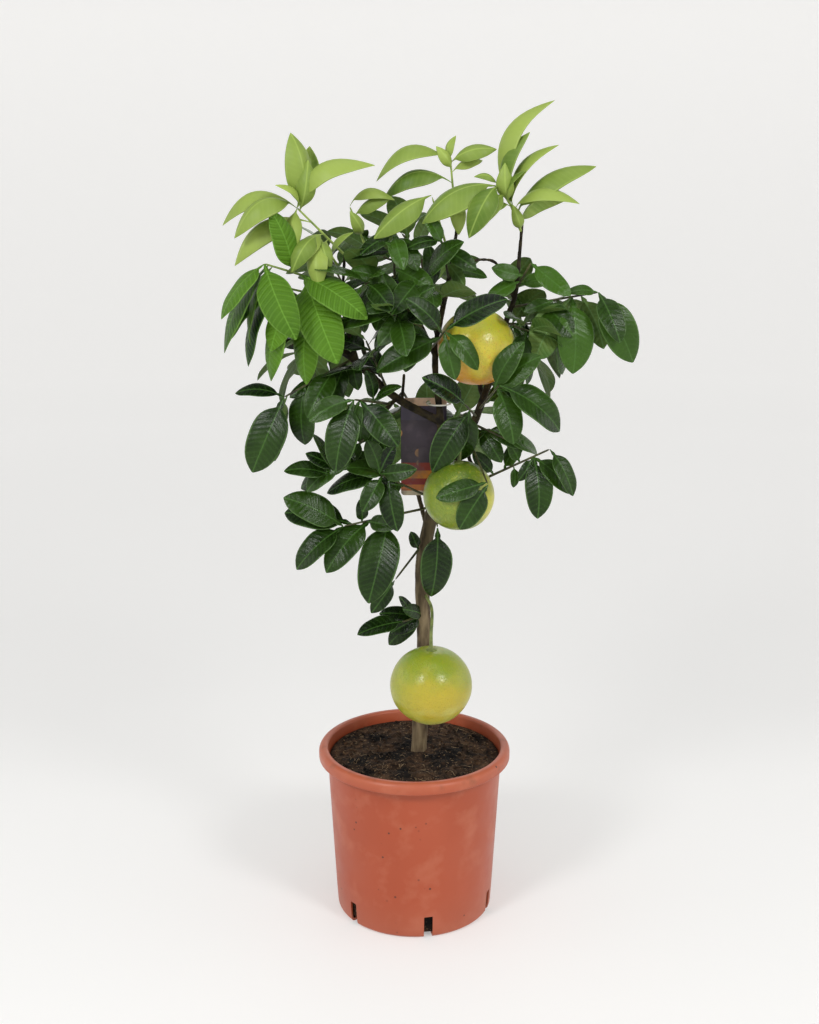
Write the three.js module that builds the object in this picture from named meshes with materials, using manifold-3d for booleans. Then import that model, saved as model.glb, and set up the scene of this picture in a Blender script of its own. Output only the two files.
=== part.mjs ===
// A young pomelo tree in a plastic nursery pot: pot, potting soil, woody trunk with its limbs,
// leafy shoots, three fruits on their stalks, and a hanging plant label on a plastic tie.
// Millimetres, +Z up, -Y is the front. The origin is the middle of the pot's foot.
import * as THREE from "three";
import { mergeVertices } from "three/addons/utils/BufferGeometryUtils.js";
import Module from "manifold-3d";

const wasm = await Module();
wasm.setup();

// Clearances between separate pieces
const GAP = 0.35;

// Nursery pot, 22 cm across its rolled lip
const POT_HEIGHT = 198;
const POT_FOOT_RADIUS = 90;
const POT_NECK_RADIUS = 100;
const POT_WALL = 2;
const FOOT_CORNER = 5;
const LIP_RADIUS = 110;
const LIP_DEPTH = 13;
const LIP_WALL = 2;
const LIP_ROUND = 3;
const ROUND_SEGMENTS = 36;
const DRAIN_COUNT = 6;
const DRAIN_FIRST_ANGLE = 10;
const DRAIN_WIDTH = 11;
const DRAIN_HEIGHT = 21;
const DRAIN_DEPTH = 14;

// Potting soil
const SOIL_BELOW_RIM = 11;
const SOIL_MOUND = 5;

// Fruits: centre, then radius across and half the height
const FRUITS = [
  { name: "fruit_low", centre: [18, -60, 294], radius: 45, half: 43 },
  { name: "fruit_middle", centre: [47, -50, 506], radius: 38, half: 38 },
  { name: "fruit_upper", centre: [65, -25, 661], radius: 41, half: 41 },
];
const FRUIT_DIMPLE = 0.07;
const FRUIT_SIDES = 16;
const FRUIT_RINGS = 10;
const STALK_RADIUS = 1.7;
const CALYX_RADIUS = 6;
const CALYX_THICKNESS = 1.6;
// Each stalk runs from the wood down to the top of its fruit
const STALKS = [
  { name: "stalk_low", fruit: 0, route: [[12, -4, 380], [19, -32, 372], [18, -57, 350]] },
  { name: "stalk_middle", fruit: 1, route: [[58, -10, 566], [53, -38, 570], [48, -50, 556]] },
  { name: "stalk_upper", fruit: 2, route: [[33, 0, 716], [50, -16, 722], [64, -25, 712]] },
];

// Hanging label and its tie
const LABEL_WIDTH = 50;
const LABEL_HEIGHT = 110;
const LABEL_THICKNESS = 0.9;
const LABEL_CORNER = 4;
const LABEL_CENTRE = [10, 9, 546];
const LABEL_TILT = 2;
const LABEL_HOLE = 2.6;
const LABEL_HOLE_AT = [5, 49.5];
const TIE_RADIUS = 12.8;
const TIE_WIRE = 0.9;
const TIE_CENTRE = [26, 0.5, 596];

// Wood: every limb's centre line from its lower end, with its radius there and at its upper end
const LIMBS = [
  { from: 9.5, to: 7, line: [[2, 0, 128], [5, 0, 190], [11, 0, 315], [9, 0, 414], [18, 0, 468], [25, 0, 500]] },
  { from: 6, to: 3.6, line: [[25, 0, 497], [39, -4, 524], [60, -10, 567], [73, -8, 600], [92, 25, 645]] },
  { from: 3.6, to: 1.7, line: [[92, 25, 643], [100, 22, 685], [107, 4, 712], [110, 0, 745], [113, 0, 790]] },
  { from: 5, to: 3, line: [[25, 0, 495], [29, -5, 545], [28, -5, 580], [22, 4, 643], [30, 2, 700]] },
  { from: 3, to: 1.7, line: [[30, 2, 698], [38, 0, 740], [45, 0, 788]] },
  { from: 4.5, to: 4.2, line: [[28, -5, 577], [-21, -5, 604], [-80, 5, 654], [-104, 5, 661], [-156, 5, 661]] },
  { from: 2.8, to: 1.6, line: [[-62, 2, 640], [-76, 0, 700], [-74, -8, 756]] },
  { from: 2.6, to: 1.6, line: [[23, 3, 645], [2, -8, 690], [-21, -10, 719], [-46, 0, 749]] },
  { from: 2, to: 1.4, line: [[107, 4, 708], [92, 4, 735], [84, 2, 748], [62, 0, 749], [47, 2, 738]] },
  { from: 2.4, to: 1.7, line: [[-19, -5, 603], [-36, -22, 588], [-47, -30, 572]] },
  { from: 2.6, to: 1.8, line: [[58, -9, 563], [60, -6, 535], [76, -12, 515]] },
  { from: 2.8, to: 1.7, line: [[-44, -1, 623], [-58, 50, 650], [-72, 95, 668], [-76, 112, 700]] },
  { from: 2.8, to: 1.7, line: [[74, -5, 601], [70, 50, 628], [82, 95, 655], [86, 112, 700]] },
  { from: 2.6, to: 1.7, line: [[25, 2, 668], [14, 45, 700], [8, 72, 745]] },
  { from: 2.8, to: 1.8, line: [[15, 0, 452], [0, 52, 500], [-14, 88, 560], [-12, 104, 612]] },
];
const LIMB_SIDES = 6;
const LIMB_STEPS_PER_POINT = 1;
const LIMB_SAMPLES = 40;

// Leaves, by the age of the shoot: width over length, rise of the midrib over length, and rise of
// the edges above the midrib over half the width
const AGES = {
  fresh: { width: 0.42, arch: 0.3, fold: -0.35, thick: 0.6, colour: "#a9c957" },
  young: { width: 0.44, arch: 0.1, fold: 0.1, thick: 0.6, colour: "#6aa52f" },
  grown: { width: 0.46, arch: 0.08, fold: 0.18, thick: 0.6, colour: "#2c4a28" },
};
const LEAF_STATIONS = [0, 0.13, 0.52, 1];
const LEAF_WIDTHS = [0.05, 0.2, 1, 0];
// A leaf's edges are sharp, so its clearance solid grows more at the edges than the gap itself
const EDGE_GROWTH = 6;
const FACE_GROWTH = 2.5;
const TWIG_RADIUS = 1.7;
const TWIG_SIDES = 4;
const TWIG_STEPS = 2;

// Shoots that make the outline and the front. Each twig runs from the nearest wood to its tip.
// A leaf is: place along the twig, lean of its line (degrees from +X towards +Z), how far that line
// comes forward (degrees), length, and how far its upper side turns to the front (degrees).
const SHOOTS = [
  { name: "shoot_top_left", age: "fresh", root: [-74, -10, 755], tip: [-121, -30, 805], leaves: [
    [1, 92, 10, 76, 36], [1, 77, -10, 64, -18], [1, 125, 50, 48, 38], [0.95, 78, 20, 55, 60],
    [1, 191, 0, 80, 22], [1, 203, 25, 75, 30], [1, 262, 20, 52, 75], [0.95, 32, 10, 92, 28],
    [0.7, 207, 10, 92, 32], [0.45, 228, 30, 56, 60], [0.35, 259, 25, 56, 70] ] },
  { name: "shoot_top_left_low", age: "fresh", root: [-79, -5, 735], tip: [-100, -30, 777], leaves: [
    [1, 233, 30, 50, 60], [0.9, 268, 25, 54, 60], [0.9, 290, 30, 36, 50],
    [0.45, 52, 30, 41, 32] ] },
  { name: "shoot_left_young", age: "young", root: [-81, -15, 718], tip: [-153, -62, 751], leaves: [
    [1, 229, 15, 72, 20], [0.95, 239, -5, 105, 12], [1, 295, 25, 87, 40], [0.5, 293, 30, 104, 45],
    [0.55, 331, 25, 89, 40], [0.65, 105, 20, 70, 50], [0.9, 249, -15, 92, 16] ] },
  { name: "shoot_left_hanging", age: "young", root: [-80, 0, 708], tip: [-146, -28, 726], leaves: [
    [1, 226, 5, 78, 14], [1, 247, -10, 96, 16], [0.85, 258, 5, 100, 18], [0.6, 240, 30, 75, 40],
    [0.4, 262, 15, 96, 24] ] },
  { name: "shoot_left_bough", age: "grown", root: [-74, -20, 638], tip: [-138, -40, 610], leaves: [
    [1, 174, 0, 52, 25], [0.35, 132, 20, 38, -60], [1, 246, 10, 87, 70], [0.95, 256, -10, 77, -15],
    [0.25, 238, 30, 65, 55], [0.7, 268, 0, 65, 30], [0.5, 212, 15, 38, 45], [0.1, 250, 20, 56, 60],
    [0, 280, 20, 35, 60] ] },
  { name: "shoot_mid_left", age: "grown", root: [-21, -25, 609], tip: [-63, -72, 613], leaves: [
    [0.85, 312, 20, 64, 65], [1, 255, 15, 77, 60], [1, 203, 15, 52, 55], [0.5, 32, 20, 38, 40],
    [0.5, 253, -10, 50, 60], [0.85, 255, 25, 45, 65], [0.25, 255, 5, 53, 60],
    [0.5, 100, 10, 36, 50] ] },
  { name: "shoot_left_low", age: "grown", root: [-46, -30, 573], tip: [-90, -60, 527], leaves: [
    [0.7, 217, 10, 48, 55], [0.95, 171, 10, 51, 40], [0.8, 153, 0, 38, 50], [0.9, 114, 10, 50, 25],
    [0.75, 212, -15, 54, 50], [0.45, 222, 30, 37, 60], [0.2, 237, 20, 38, 60],
    [0.4, 290, 20, 35, 60] ] },
  { name: "shoot_low_left", age: "grown", root: [9, 0, 482], tip: [-77, -40, 469], leaves: [
    [1, 150, 10, 73, 50], [1, 220, 15, 69, 32], [0.7, 226, 25, 76, 60], [0.5, 256, 20, 98, 70],
    [0.9, 172, -10, 77, 40], [0.75, 359, 30, 39, 70], [0.8, 94, 20, 29, 60] ] },
  { name: "shoot_low_mid", age: "grown", root: [11, -10, 491], tip: [-37, -58, 531], leaves: [
    [0.85, 280, 15, 58, 75], [1, 14, 25, 44, 70], [0.7, 217, 0, 29, 60], [0.95, 239, 25, 45, 60],
    [0.9, 165, 10, 44, 50], [0.75, 147, -10, 54, 40], [1, 107, 20, 44, 60], [0.95, 197, 0, 63, 35],
    [0.55, 172, 30, 40, 60], [1, 64, 10, 37, 60] ] },
  { name: "shoot_hanging", age: "grown", root: [14, -3, 446], tip: [-22, -15, 400], leaves: [
    [1, 233, 15, 45, 85], [0.25, 110, 20, 26, 50] ] },
  { name: "shoot_trunk_low", age: "grown", root: [11, -8, 349], tip: [-14, -20, 353], leaves: [
    [0.3, 172, 5, 43, 45], [0.9, 191, 15, 55, 35], [0, 144, 45, 39, 60], [0, 205, 15, 42, 60],
    [0.1, 222, 5, 50, 60], [0.45, 118, 20, 36, 45] ] },
  { name: "shoot_trunk_front", age: "grown", root: [22, -6, 484], tip: [25, -28, 464], leaves: [
    [1, 265, 5, 78, 85] ] },
  { name: "shoot_right_far", age: "grown", root: [104, 12, 695], tip: [194, -10, 717], leaves: [
    [1, 294, 25, 60, 60], [1, 298, 5, 84, 80], [1, 178, 15, 36, 40], [0.8, 296, -5, 64, -50],
    [0.7, 236, 25, 82, -60], [0.7, 271, 15, 82, 85], [0.5, 280, -10, 86, 30], [0.5, 200, 10, 36, 60],
    [0.5, 322, -20, 66, -60], [0.3, 318, 30, 58, 70], [0.2, 334, 30, 54, 60] ] },
  { name: "shoot_right_stem", age: "grown", root: [108, 2, 720], tip: [122, -14, 748], leaves: [
    [1, 322, 25, 56, 70], [0.3, 208, 10, 42, 50], [0.5, 165, 10, 36, 75], [0.1, 9, -20, 46, 50] ] },
  { name: "shoot_right_front", age: "grown", root: [70, -25, 594], tip: [86, -84, 630], leaves: [
    [0.75, 62, 12, 62, 55], [0.75, 40, 12, 62, 60], [0.9, 287, 20, 61, 70], [1, 324, 0, 80, 30],
    [0.85, 339, -25, 53, 40], [0.2, 35, -20, 51, 50] ] },
  { name: "shoot_right_mid", age: "grown", root: [66, -10, 575], tip: [102, -42, 563], leaves: [
    [0.3, 337, 20, 46, 55], [0.2, 303, 30, 46, 80], [0.4, 205, 20, 36, 30], [0.7, 333, -20, 52, 40] ] },
  { name: "shoot_right_low", age: "grown", root: [71, -20, 513], tip: [144, -40, 554], leaves: [
    [1, 298, 15, 56, 40], [0.75, 318, 10, 58, 40], [0.75, 274, 20, 67, 75], [0.75, 238, 10, 31, 45],
    [0.15, 132, 10, 36, 60], [0.45, 271, 10, 24, 50],
    [0.3, 60, 10, 40, 60], [0.55, 118, 15, 30, 50] ] },
  { name: "shoot_fruit_cover", age: "grown", root: [58, -9, 562], tip: [76, -86, 526], leaves: [
    [0.95, 196, 5, 56, 50], [1, 238, 5, 56, 85] ] },
  { name: "shoot_centre_front", age: "grown", root: [33, -30, 656], tip: [31, -84, 686], leaves: [
    [0.65, 207, 10, 76, 50], [1, 28, 0, 70, 48], [0.95, 312, 5, 52, 40], [0.8, 134, 15, 55, 50],
    [0.3, 161, 10, 54, 45], [0.9, 284, 10, 50, 60] ] },
  { name: "shoot_centre_low", age: "grown", root: [64, -12, 585], tip: [52, -60, 606], leaves: [
    [1, 144, 20, 58, 50], [0.5, 236, 20, 78, 80], [0.6, 262, -10, 60, 85] ] },
  { name: "shoot_top_right", age: "fresh", root: [113, 0, 779], tip: [95, -12, 818], leaves: [
    [1, 65, 0, 106, 14], [0.9, 76, 20, 74, 22], [0.5, 61, 20, 87, 16], [0.4, 35, 10, 98, 20],
    [0.55, 10, 25, 73, 30], [0.15, 30, -10, 59, -40], [0.1, 110, 30, 31, 60], [0.55, 80, 40, 58, 30],
    [0.85, 99, 30, 44, 60] ] },
  { name: "shoot_top_right_low", age: "fresh", root: [109, -5, 790], tip: [85, -25, 827], leaves: [
    [1, 204, 10, 88, 34], [1, 239, 25, 65, 32], [0.4, 196, 15, 49, 34], [0.75, 230, 30, 48, 60],
    [1, 158, 10, 27, 38] ] },
  { name: "shoot_top_grey", age: "fresh", root: [45, 0, 784], tip: [37, -5, 850], leaves: [
    [0.9, 124, 20, 30, 60], [1, 80, 0, 28, 30], [1, 17, 10, 50, 60], [0.85, 22, -20, 38, 40],
    [0.7, 191, 0, 74, 32], [1, 192, 5, 80, 24], [0.5, 278, 20, 42, 70] ] },
  { name: "shoot_top_mid", age: "fresh", root: [38, -4, 745], tip: [17, -26, 818], leaves: [
    [1, 215, 15, 76, 45] ] },
  { name: "shoot_top_mid_dark", age: "grown", root: [36, -2, 730], tip: [28, -34, 772], leaves: [
    [1, 190, 20, 40, 40], [0.8, 330, 20, 42, 60], [0.5, 309, 35, 40, -60], [0.3, 349, 10, 44, 50],
    [0.9, 120, 10, 36, 40] ] },
  { name: "shoot_top_mid_left", age: "fresh", root: [-45, 0, 748], tip: [-68, -10, 806], leaves: [
    [1, 9, 5, 48, 38], [0.8, 30, 10, 46, 40], [0.5, 110, 50, 40, 70] ] },
  { name: "shoot_upper_left", age: "grown", root: [-21, -10, 719], tip: [-22, -32, 778], leaves: [
    [1, 209, 20, 42, 40], [1, 306, 20, 46, 40], [1, 288, 45, 48, 80], [0.15, 162, 25, 52, 60],
    [0.1, 246, 30, 56, 70], [0.4, 335, 35, 54, 70], [0.7, 186, 10, 46, 30] ] },
  { name: "shoot_mid_upper", age: "grown", root: [10, -4, 684], tip: [-14, -46, 710], leaves: [
    [0.9, 34, 30, 44, 60], [0.4, 217, 10, 48, 40], [0.7, 228, 30, 52, 70], [1, 190, 20, 46, 50] ] },
];

const LEAN_OUTWARD = 0.35;

// Fuller shoots inside the crown and round the back: leaves spiral along the twig by themselves
const FILLERS = [
  { name: "shoot_inner_front", root: [10, -4, 684], tip: [-26, -56, 700], count: 8, length: 54 },
  { name: "shoot_inner_left", root: [-30, -5, 612], tip: [-52, -20, 668], count: 8, length: 62 },
  { name: "shoot_inner_upper", root: [30, 0, 700], tip: [4, -34, 738], count: 8, length: 56 },
  { name: "shoot_inner_bough", root: [-80, 5, 654], tip: [-112, 10, 690], count: 8, length: 60 },
  { name: "shoot_inner_top", root: [-35, -5, 735], tip: [-52, -42, 728], count: 8, length: 52 },
  { name: "shoot_inner_right", root: [98, 22, 680], tip: [120, -26, 678], count: 8, length: 56 },
  { name: "shoot_inner_low", root: [-10, 90, 575], tip: [-62, 30, 560], count: 8, length: 60 },
  { name: "shoot_left_back", root: [-100, 5, 660], tip: [-128, 62, 640], count: 8, length: 62 },
  { name: "shoot_back_left", root: [-72, 95, 668], tip: [-112, 118, 632], count: 8, length: 64 },
  { name: "shoot_back_left_top", root: [-76, 112, 698], tip: [-100, 122, 752], count: 8, length: 64 },
  { name: "shoot_back_low", root: [-13, 98, 590], tip: [-44, 140, 548], count: 8, length: 64 },
  { name: "shoot_back_mid", root: [-13, 98, 590], tip: [12, 144, 540], count: 8, length: 64 },
  { name: "shoot_back_low_right", root: [-5, 70, 530], tip: [62, 112, 566], count: 8, length: 62 },
  { name: "shoot_back_right", root: [82, 95, 655], tip: [84, 140, 640], count: 8, length: 62 },
  { name: "shoot_back_right_top", root: [86, 112, 698], tip: [112, 108, 704], count: 8, length: 58 },
  { name: "shoot_back_right_far", root: [84, 100, 670], tip: [142, 84, 672], count: 8, length: 60 },
  { name: "shoot_back_top", root: [8, 72, 743], tip: [-14, 92, 772], count: 8, length: 56 },
  { name: "shoot_back_upper", root: [12, 52, 708], tip: [26, 96, 726], count: 8, length: 54 },
  { name: "shoot_back_inner", root: [10, 66, 730], tip: [-46, 62, 752], count: 8, length: 58 },
  { name: "shoot_right_back", root: [96, 24, 664], tip: [136, 56, 640], count: 8, length: 58 },
];
const SPIRAL_STEP = 137.5;
const SPIRAL_START = 0.25;
const SPREAD = 58;
const SPREAD_AT_TIP = 24;
const DROOP = 0.3;
const FACE_OUTWARD = 0.8;
const LENGTH_SWING = 0.16;

const UP = new THREE.Vector3(0, 0, 1);
const FRONT = new THREE.Vector3(0, -1, 0);
const vector = (place) => new THREE.Vector3(...place);
const radians = THREE.MathUtils.degToRad;

// Turns a closed geometry into a solid that can be joined and cut
function solid(geometry) {
  const bare = geometry.clone();
  bare.deleteAttribute("normal");
  bare.deleteAttribute("uv");
  const merged = mergeVertices(bare, 1e-4);
  return new wasm.Manifold(new wasm.Mesh({
    numProp: 3,
    vertProperties: new Float32Array(merged.attributes.position.array),
    triVerts: new Uint32Array(merged.index.array),
  }));
}

// Turns a solid back into a named mesh
function mesh(name, body, colour, roughness) {
  const data = body.getMesh();
  const geometry = new THREE.BufferGeometry();
  geometry.setAttribute("position", new THREE.BufferAttribute(data.vertProperties, 3));
  geometry.setIndex(new THREE.BufferAttribute(data.triVerts, 1));
  geometry.computeVertexNormals();
  const material = new THREE.MeshStandardMaterial({ color: colour, roughness, metalness: 0 });
  const piece = new THREE.Mesh(geometry, material);
  piece.name = name;
  return piece;
}

// The largest closed body of a solid, so that a cut never leaves loose scraps
function largest(body) {
  const parts = body.decompose();
  parts.sort((a, b) => b.volume() - a.volume());
  return parts[0];
}

const boxesMeet = (a, b) => [0, 1, 2].every((i) => a.min[i] <= b.max[i] && b.min[i] <= a.max[i]);

// Pieces already in place, each with the slightly thicker solids that later pieces stay clear of
const placed = [];

function keepClear(body) {
  let result = body;
  for (const other of placed) {
    if (boxesMeet(result.boundingBox(), other.boundingBox())) {
      result = result.subtract(other);
    }
  }
  return largest(result);
}

// Rings of a unit cylinder or cone (its length along local Y) laid along a line
function layAlong(geometry, ringAt) {
  const position = geometry.attributes.position;
  for (let i = 0; i < position.count; i += 1) {
    const t = position.getY(i) + 0.5;
    const ring = ringAt(t);
    const reach = Math.hypot(position.getX(i), position.getZ(i)) || 1;
    const sideways = position.getX(i) / reach;
    const point = ring.centre.clone()
      .addScaledVector(ring.across, sideways * ring.halfWidth)
      .addScaledVector(ring.normal, (position.getZ(i) / reach) * ring.halfThick)
      .addScaledVector(ring.normal, Math.abs(sideways) * ring.lift);
    position.setXYZ(i, point.x, point.y, point.z);
  }
  return geometry;
}

// A round tapered stem along a smooth line
function stem(points, fromRadius, toRadius, sides, steps, grow = 0) {
  const curve = new THREE.CatmullRomCurve3(points, false, "centripetal");
  const frames = curve.computeFrenetFrames(steps, false);
  const unit = new THREE.CylinderGeometry(1, 1, 1, sides, steps);
  return solid(layAlong(unit, (t) => {
    const step = Math.round(t * steps);
    const radius = THREE.MathUtils.lerp(fromRadius, toRadius, t) + grow;
    const stretch = step === 0 ? -grow : step === steps ? grow : 0;
    return {
      centre: curve.getPointAt(step / steps).addScaledVector(frames.tangents[step], stretch),
      across: frames.tangents[step].clone().cross(frames.normals[step]),
      normal: frames.normals[step],
      halfWidth: radius,
      halfThick: radius,
      lift: 0,
    };
  }));
}

// Point on a leaf's midrib, at a fraction of its length
function midribPoint(leaf, u) {
  const rise = leaf.length * AGES[leaf.age].arch * 4 * u * (1 - u);
  return leaf.base.clone().addScaledVector(leaf.line, leaf.length * u).addScaledVector(leaf.normal, rise);
}

// Leaf blade on its stalk: a folded, arched lozenge section that narrows to a pointed tip
function leafSolid(leaf, grow = 0) {
  const age = AGES[leaf.age];
  const across = leaf.line.clone().cross(leaf.normal);
  const last = LEAF_STATIONS.length - 1;
  const unit = new THREE.ConeGeometry(1, 1, 4, last);
  return solid(layAlong(unit, (t) => {
    const station = Math.round(t * last);
    const u = LEAF_STATIONS[station];
    const slope = age.arch * 4 * (1 - 2 * u);
    const halfWidth = 0.5 * age.width * leaf.length * LEAF_WIDTHS[station] + EDGE_GROWTH * grow;
    const centre = midribPoint(leaf, u);
    if (station === last) {
      const heading = centre.clone().sub(midribPoint(leaf, LEAF_STATIONS[last - 1])).normalize();
      centre.addScaledVector(heading, EDGE_GROWTH * grow);
    }
    return {
      centre,
      across,
      normal: leaf.normal.clone().addScaledVector(leaf.line, -slope).normalize(),
      halfWidth,
      halfThick: age.thick + FACE_GROWTH * grow,
      lift: halfWidth * age.fold,
    };
  }));
}

// Wood
const limbCurves = LIMBS.map((limb) => (
  new THREE.CatmullRomCurve3(limb.line.map(vector), false, "centripetal")));
const woodPoints = limbCurves.slice(1).flatMap((curve) => curve.getSpacedPoints(LIMB_SAMPLES))
  .concat(limbCurves[0].getSpacedPoints(LIMB_SAMPLES));

function nearestWood(place) {
  return woodPoints.reduce((best, point) => (
    point.distanceToSquared(place) < best.distanceToSquared(place) ? point : best));
}

function woodSolid(grow = 0) {
  return LIMBS.map((limb) => stem(limb.line.map(vector), limb.from, limb.to, LIMB_SIDES,
    (limb.line.length - 1) * LIMB_STEPS_PER_POINT, grow)).reduce((a, b) => a.add(b));
}

// Pot: a turned wall, floor and rolled lip, with drain slots cut through the foot's corner
function wallRadius(height) {
  return THREE.MathUtils.mapLinear(height, 0, POT_HEIGHT - LIP_DEPTH, POT_FOOT_RADIUS, POT_NECK_RADIUS);
}

function potSolid() {
  const lipLow = POT_HEIGHT - LIP_DEPTH;
  const shoulder = POT_HEIGHT - LIP_WALL;
  const profile = [
    [0, 0], [POT_FOOT_RADIUS - FOOT_CORNER, 0],
    [POT_FOOT_RADIUS - 0.3 * FOOT_CORNER, 0.3 * FOOT_CORNER], [wallRadius(FOOT_CORNER), FOOT_CORNER],
    [wallRadius(lipLow), lipLow], [wallRadius(shoulder), shoulder],
    [LIP_RADIUS - LIP_WALL, shoulder], [LIP_RADIUS - LIP_WALL, lipLow], [LIP_RADIUS, lipLow],
    [LIP_RADIUS, POT_HEIGHT - LIP_ROUND], [LIP_RADIUS - LIP_ROUND, POT_HEIGHT],
    [wallRadius(POT_HEIGHT) + LIP_WALL, POT_HEIGHT], [wallRadius(POT_HEIGHT) - POT_WALL, shoulder],
    [wallRadius(FOOT_CORNER) - POT_WALL, FOOT_CORNER], [POT_FOOT_RADIUS - FOOT_CORNER, POT_WALL],
    [0, POT_WALL],
  ].map(([radius, height]) => new THREE.Vector2(radius, height));
  let pot = solid(new THREE.LatheGeometry(profile, ROUND_SEGMENTS).rotateX(Math.PI / 2));
  for (let i = 0; i < DRAIN_COUNT; i += 1) {
    const slot = new THREE.BoxGeometry(DRAIN_WIDTH, 2 * DRAIN_DEPTH, 2 * DRAIN_HEIGHT)
      .translate(0, -POT_FOOT_RADIUS, 0)
      .rotateZ(radians(DRAIN_FIRST_ANGLE + (360 / DRAIN_COUNT) * i));
    pot = pot.subtract(solid(slot));
  }
  return pot;
}

// Soil: fills the pot to just below the rim and rises a little at the trunk
function soilSolid() {
  const top = POT_HEIGHT - SOIL_BELOW_RIM;
  const inner = (height) => wallRadius(height) - POT_WALL - 2 * GAP;
  const profile = [
    [0, POT_WALL + GAP], [inner(0) - FOOT_CORNER, POT_WALL + GAP],
    [inner(FOOT_CORNER) - 1, FOOT_CORNER + 1], [inner(top), top], [0.6 * inner(top), top + 0.4 * SOIL_MOUND],
    [0.2 * inner(top), top + SOIL_MOUND], [0, top + SOIL_MOUND],
  ].map(([radius, height]) => new THREE.Vector2(radius, height));
  return solid(new THREE.LatheGeometry(profile, ROUND_SEGMENTS).rotateX(Math.PI / 2));
}

// Fruit: a flattened globe, slightly dimpled at stalk and base
function fruitSolid(fruit, grow = 0) {
  const profile = [];
  for (let i = 0; i <= FRUIT_RINGS; i += 1) {
    const angle = -Math.PI / 2 + (Math.PI * i) / FRUIT_RINGS;
    const radius = i % FRUIT_RINGS === 0 ? 0 : (fruit.radius + grow) * Math.cos(angle);
    const dimple = 1 - FRUIT_DIMPLE * Math.exp(-1 * ((4 * radius) / fruit.radius) ** 2);
    profile.push(new THREE.Vector2(radius, (fruit.half + grow) * Math.sin(angle) * dimple));
  }
  const turned = new THREE.LatheGeometry(profile, FRUIT_SIDES).rotateX(Math.PI / 2);
  return solid(turned.translate(...fruit.centre));
}

const fruitTop = (fruit) => fruit.centre[2] + fruit.half * (1 - FRUIT_DIMPLE);

// Stalk that ends in the small round calyx on top of its fruit
function stalkSolid(stalk, grow = 0) {
  const fruit = FRUITS[stalk.fruit];
  const calyxAt = [fruit.centre[0], fruit.centre[1], fruitTop(fruit) + CALYX_THICKNESS / 2 + 2 * GAP];
  const route = [...stalk.route.map(vector), vector(calyxAt)];
  const calyx = new THREE.CylinderGeometry(0.45 * CALYX_RADIUS + grow, CALYX_RADIUS + grow,
    CALYX_THICKNESS + 2 * grow, 10).rotateX(Math.PI / 2).translate(...calyxAt);
  return stem(route, STALK_RADIUS, STALK_RADIUS, TWIG_SIDES, 2 * route.length, grow).add(solid(calyx));
}

// Label: a thin rounded tag, with one hole for its tie
function labelSolid(grow = 0) {
  const halfWidth = LABEL_WIDTH / 2;
  const halfHeight = LABEL_HEIGHT / 2;
  const outline = new THREE.Shape();
  outline.moveTo(-halfWidth + LABEL_CORNER, -halfHeight);
  outline.lineTo(halfWidth - LABEL_CORNER, -halfHeight);
  outline.quadraticCurveTo(halfWidth, -halfHeight, halfWidth, -halfHeight + LABEL_CORNER);
  outline.lineTo(halfWidth, halfHeight - LABEL_CORNER);
  outline.quadraticCurveTo(halfWidth, halfHeight, halfWidth - LABEL_CORNER, halfHeight);
  outline.lineTo(-halfWidth + LABEL_CORNER, halfHeight);
  outline.quadraticCurveTo(-halfWidth, halfHeight, -halfWidth, halfHeight - LABEL_CORNER);
  outline.lineTo(-halfWidth, -halfHeight + LABEL_CORNER);
  outline.quadraticCurveTo(-halfWidth, -halfHeight, -halfWidth + LABEL_CORNER, -halfHeight);
  if (grow === 0) {
    const hole = new THREE.Path();
    hole.absarc(LABEL_HOLE_AT[0], LABEL_HOLE_AT[1], LABEL_HOLE, 0, 2 * Math.PI, true);
    outline.holes.push(hole);
  }
  const depth = LABEL_THICKNESS + 2 * grow;
  return solid(new THREE.ExtrudeGeometry(outline, { depth, bevelEnabled: false, curveSegments: 3 })
    .translate(0, 0, -depth / 2)
    .rotateX(radians(90 + LABEL_TILT))
    .translate(...LABEL_CENTRE));
}

function tieSolid(grow = 0) {
  return solid(new THREE.TorusGeometry(TIE_RADIUS, TIE_WIRE + grow, 5, 18).translate(...TIE_CENTRE));
}

// Upper side of a leaf that turns by the given angle from straight up towards the front
function turnedToFront(line, base, face) {
  const outward = new THREE.Vector3(base.x, base.y, 0).normalize();
  const upperSide = UP.clone().addScaledVector(outward, -LEAN_OUTWARD * line.z);
  const normal = upperSide.multiplyScalar(Math.cos(radians(face)))
    .addScaledVector(FRONT, Math.sin(radians(face)));
  return normal.addScaledVector(line, -normal.dot(line)).normalize();
}

// Leaves of a hand-placed shoot
function tableLeaves(shoot, root, tip) {
  return shoot.leaves.map(([along, lean, toward, length, face]) => {
    const base = root.clone().lerp(tip, along);
    const line = new THREE.Vector3(Math.cos(radians(lean)) * Math.cos(radians(toward)),
      -Math.sin(radians(toward)), Math.sin(radians(lean)) * Math.cos(radians(toward)));
    return { base, line, normal: turnedToFront(line, base, face), length, age: shoot.age };
  });
}

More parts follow.
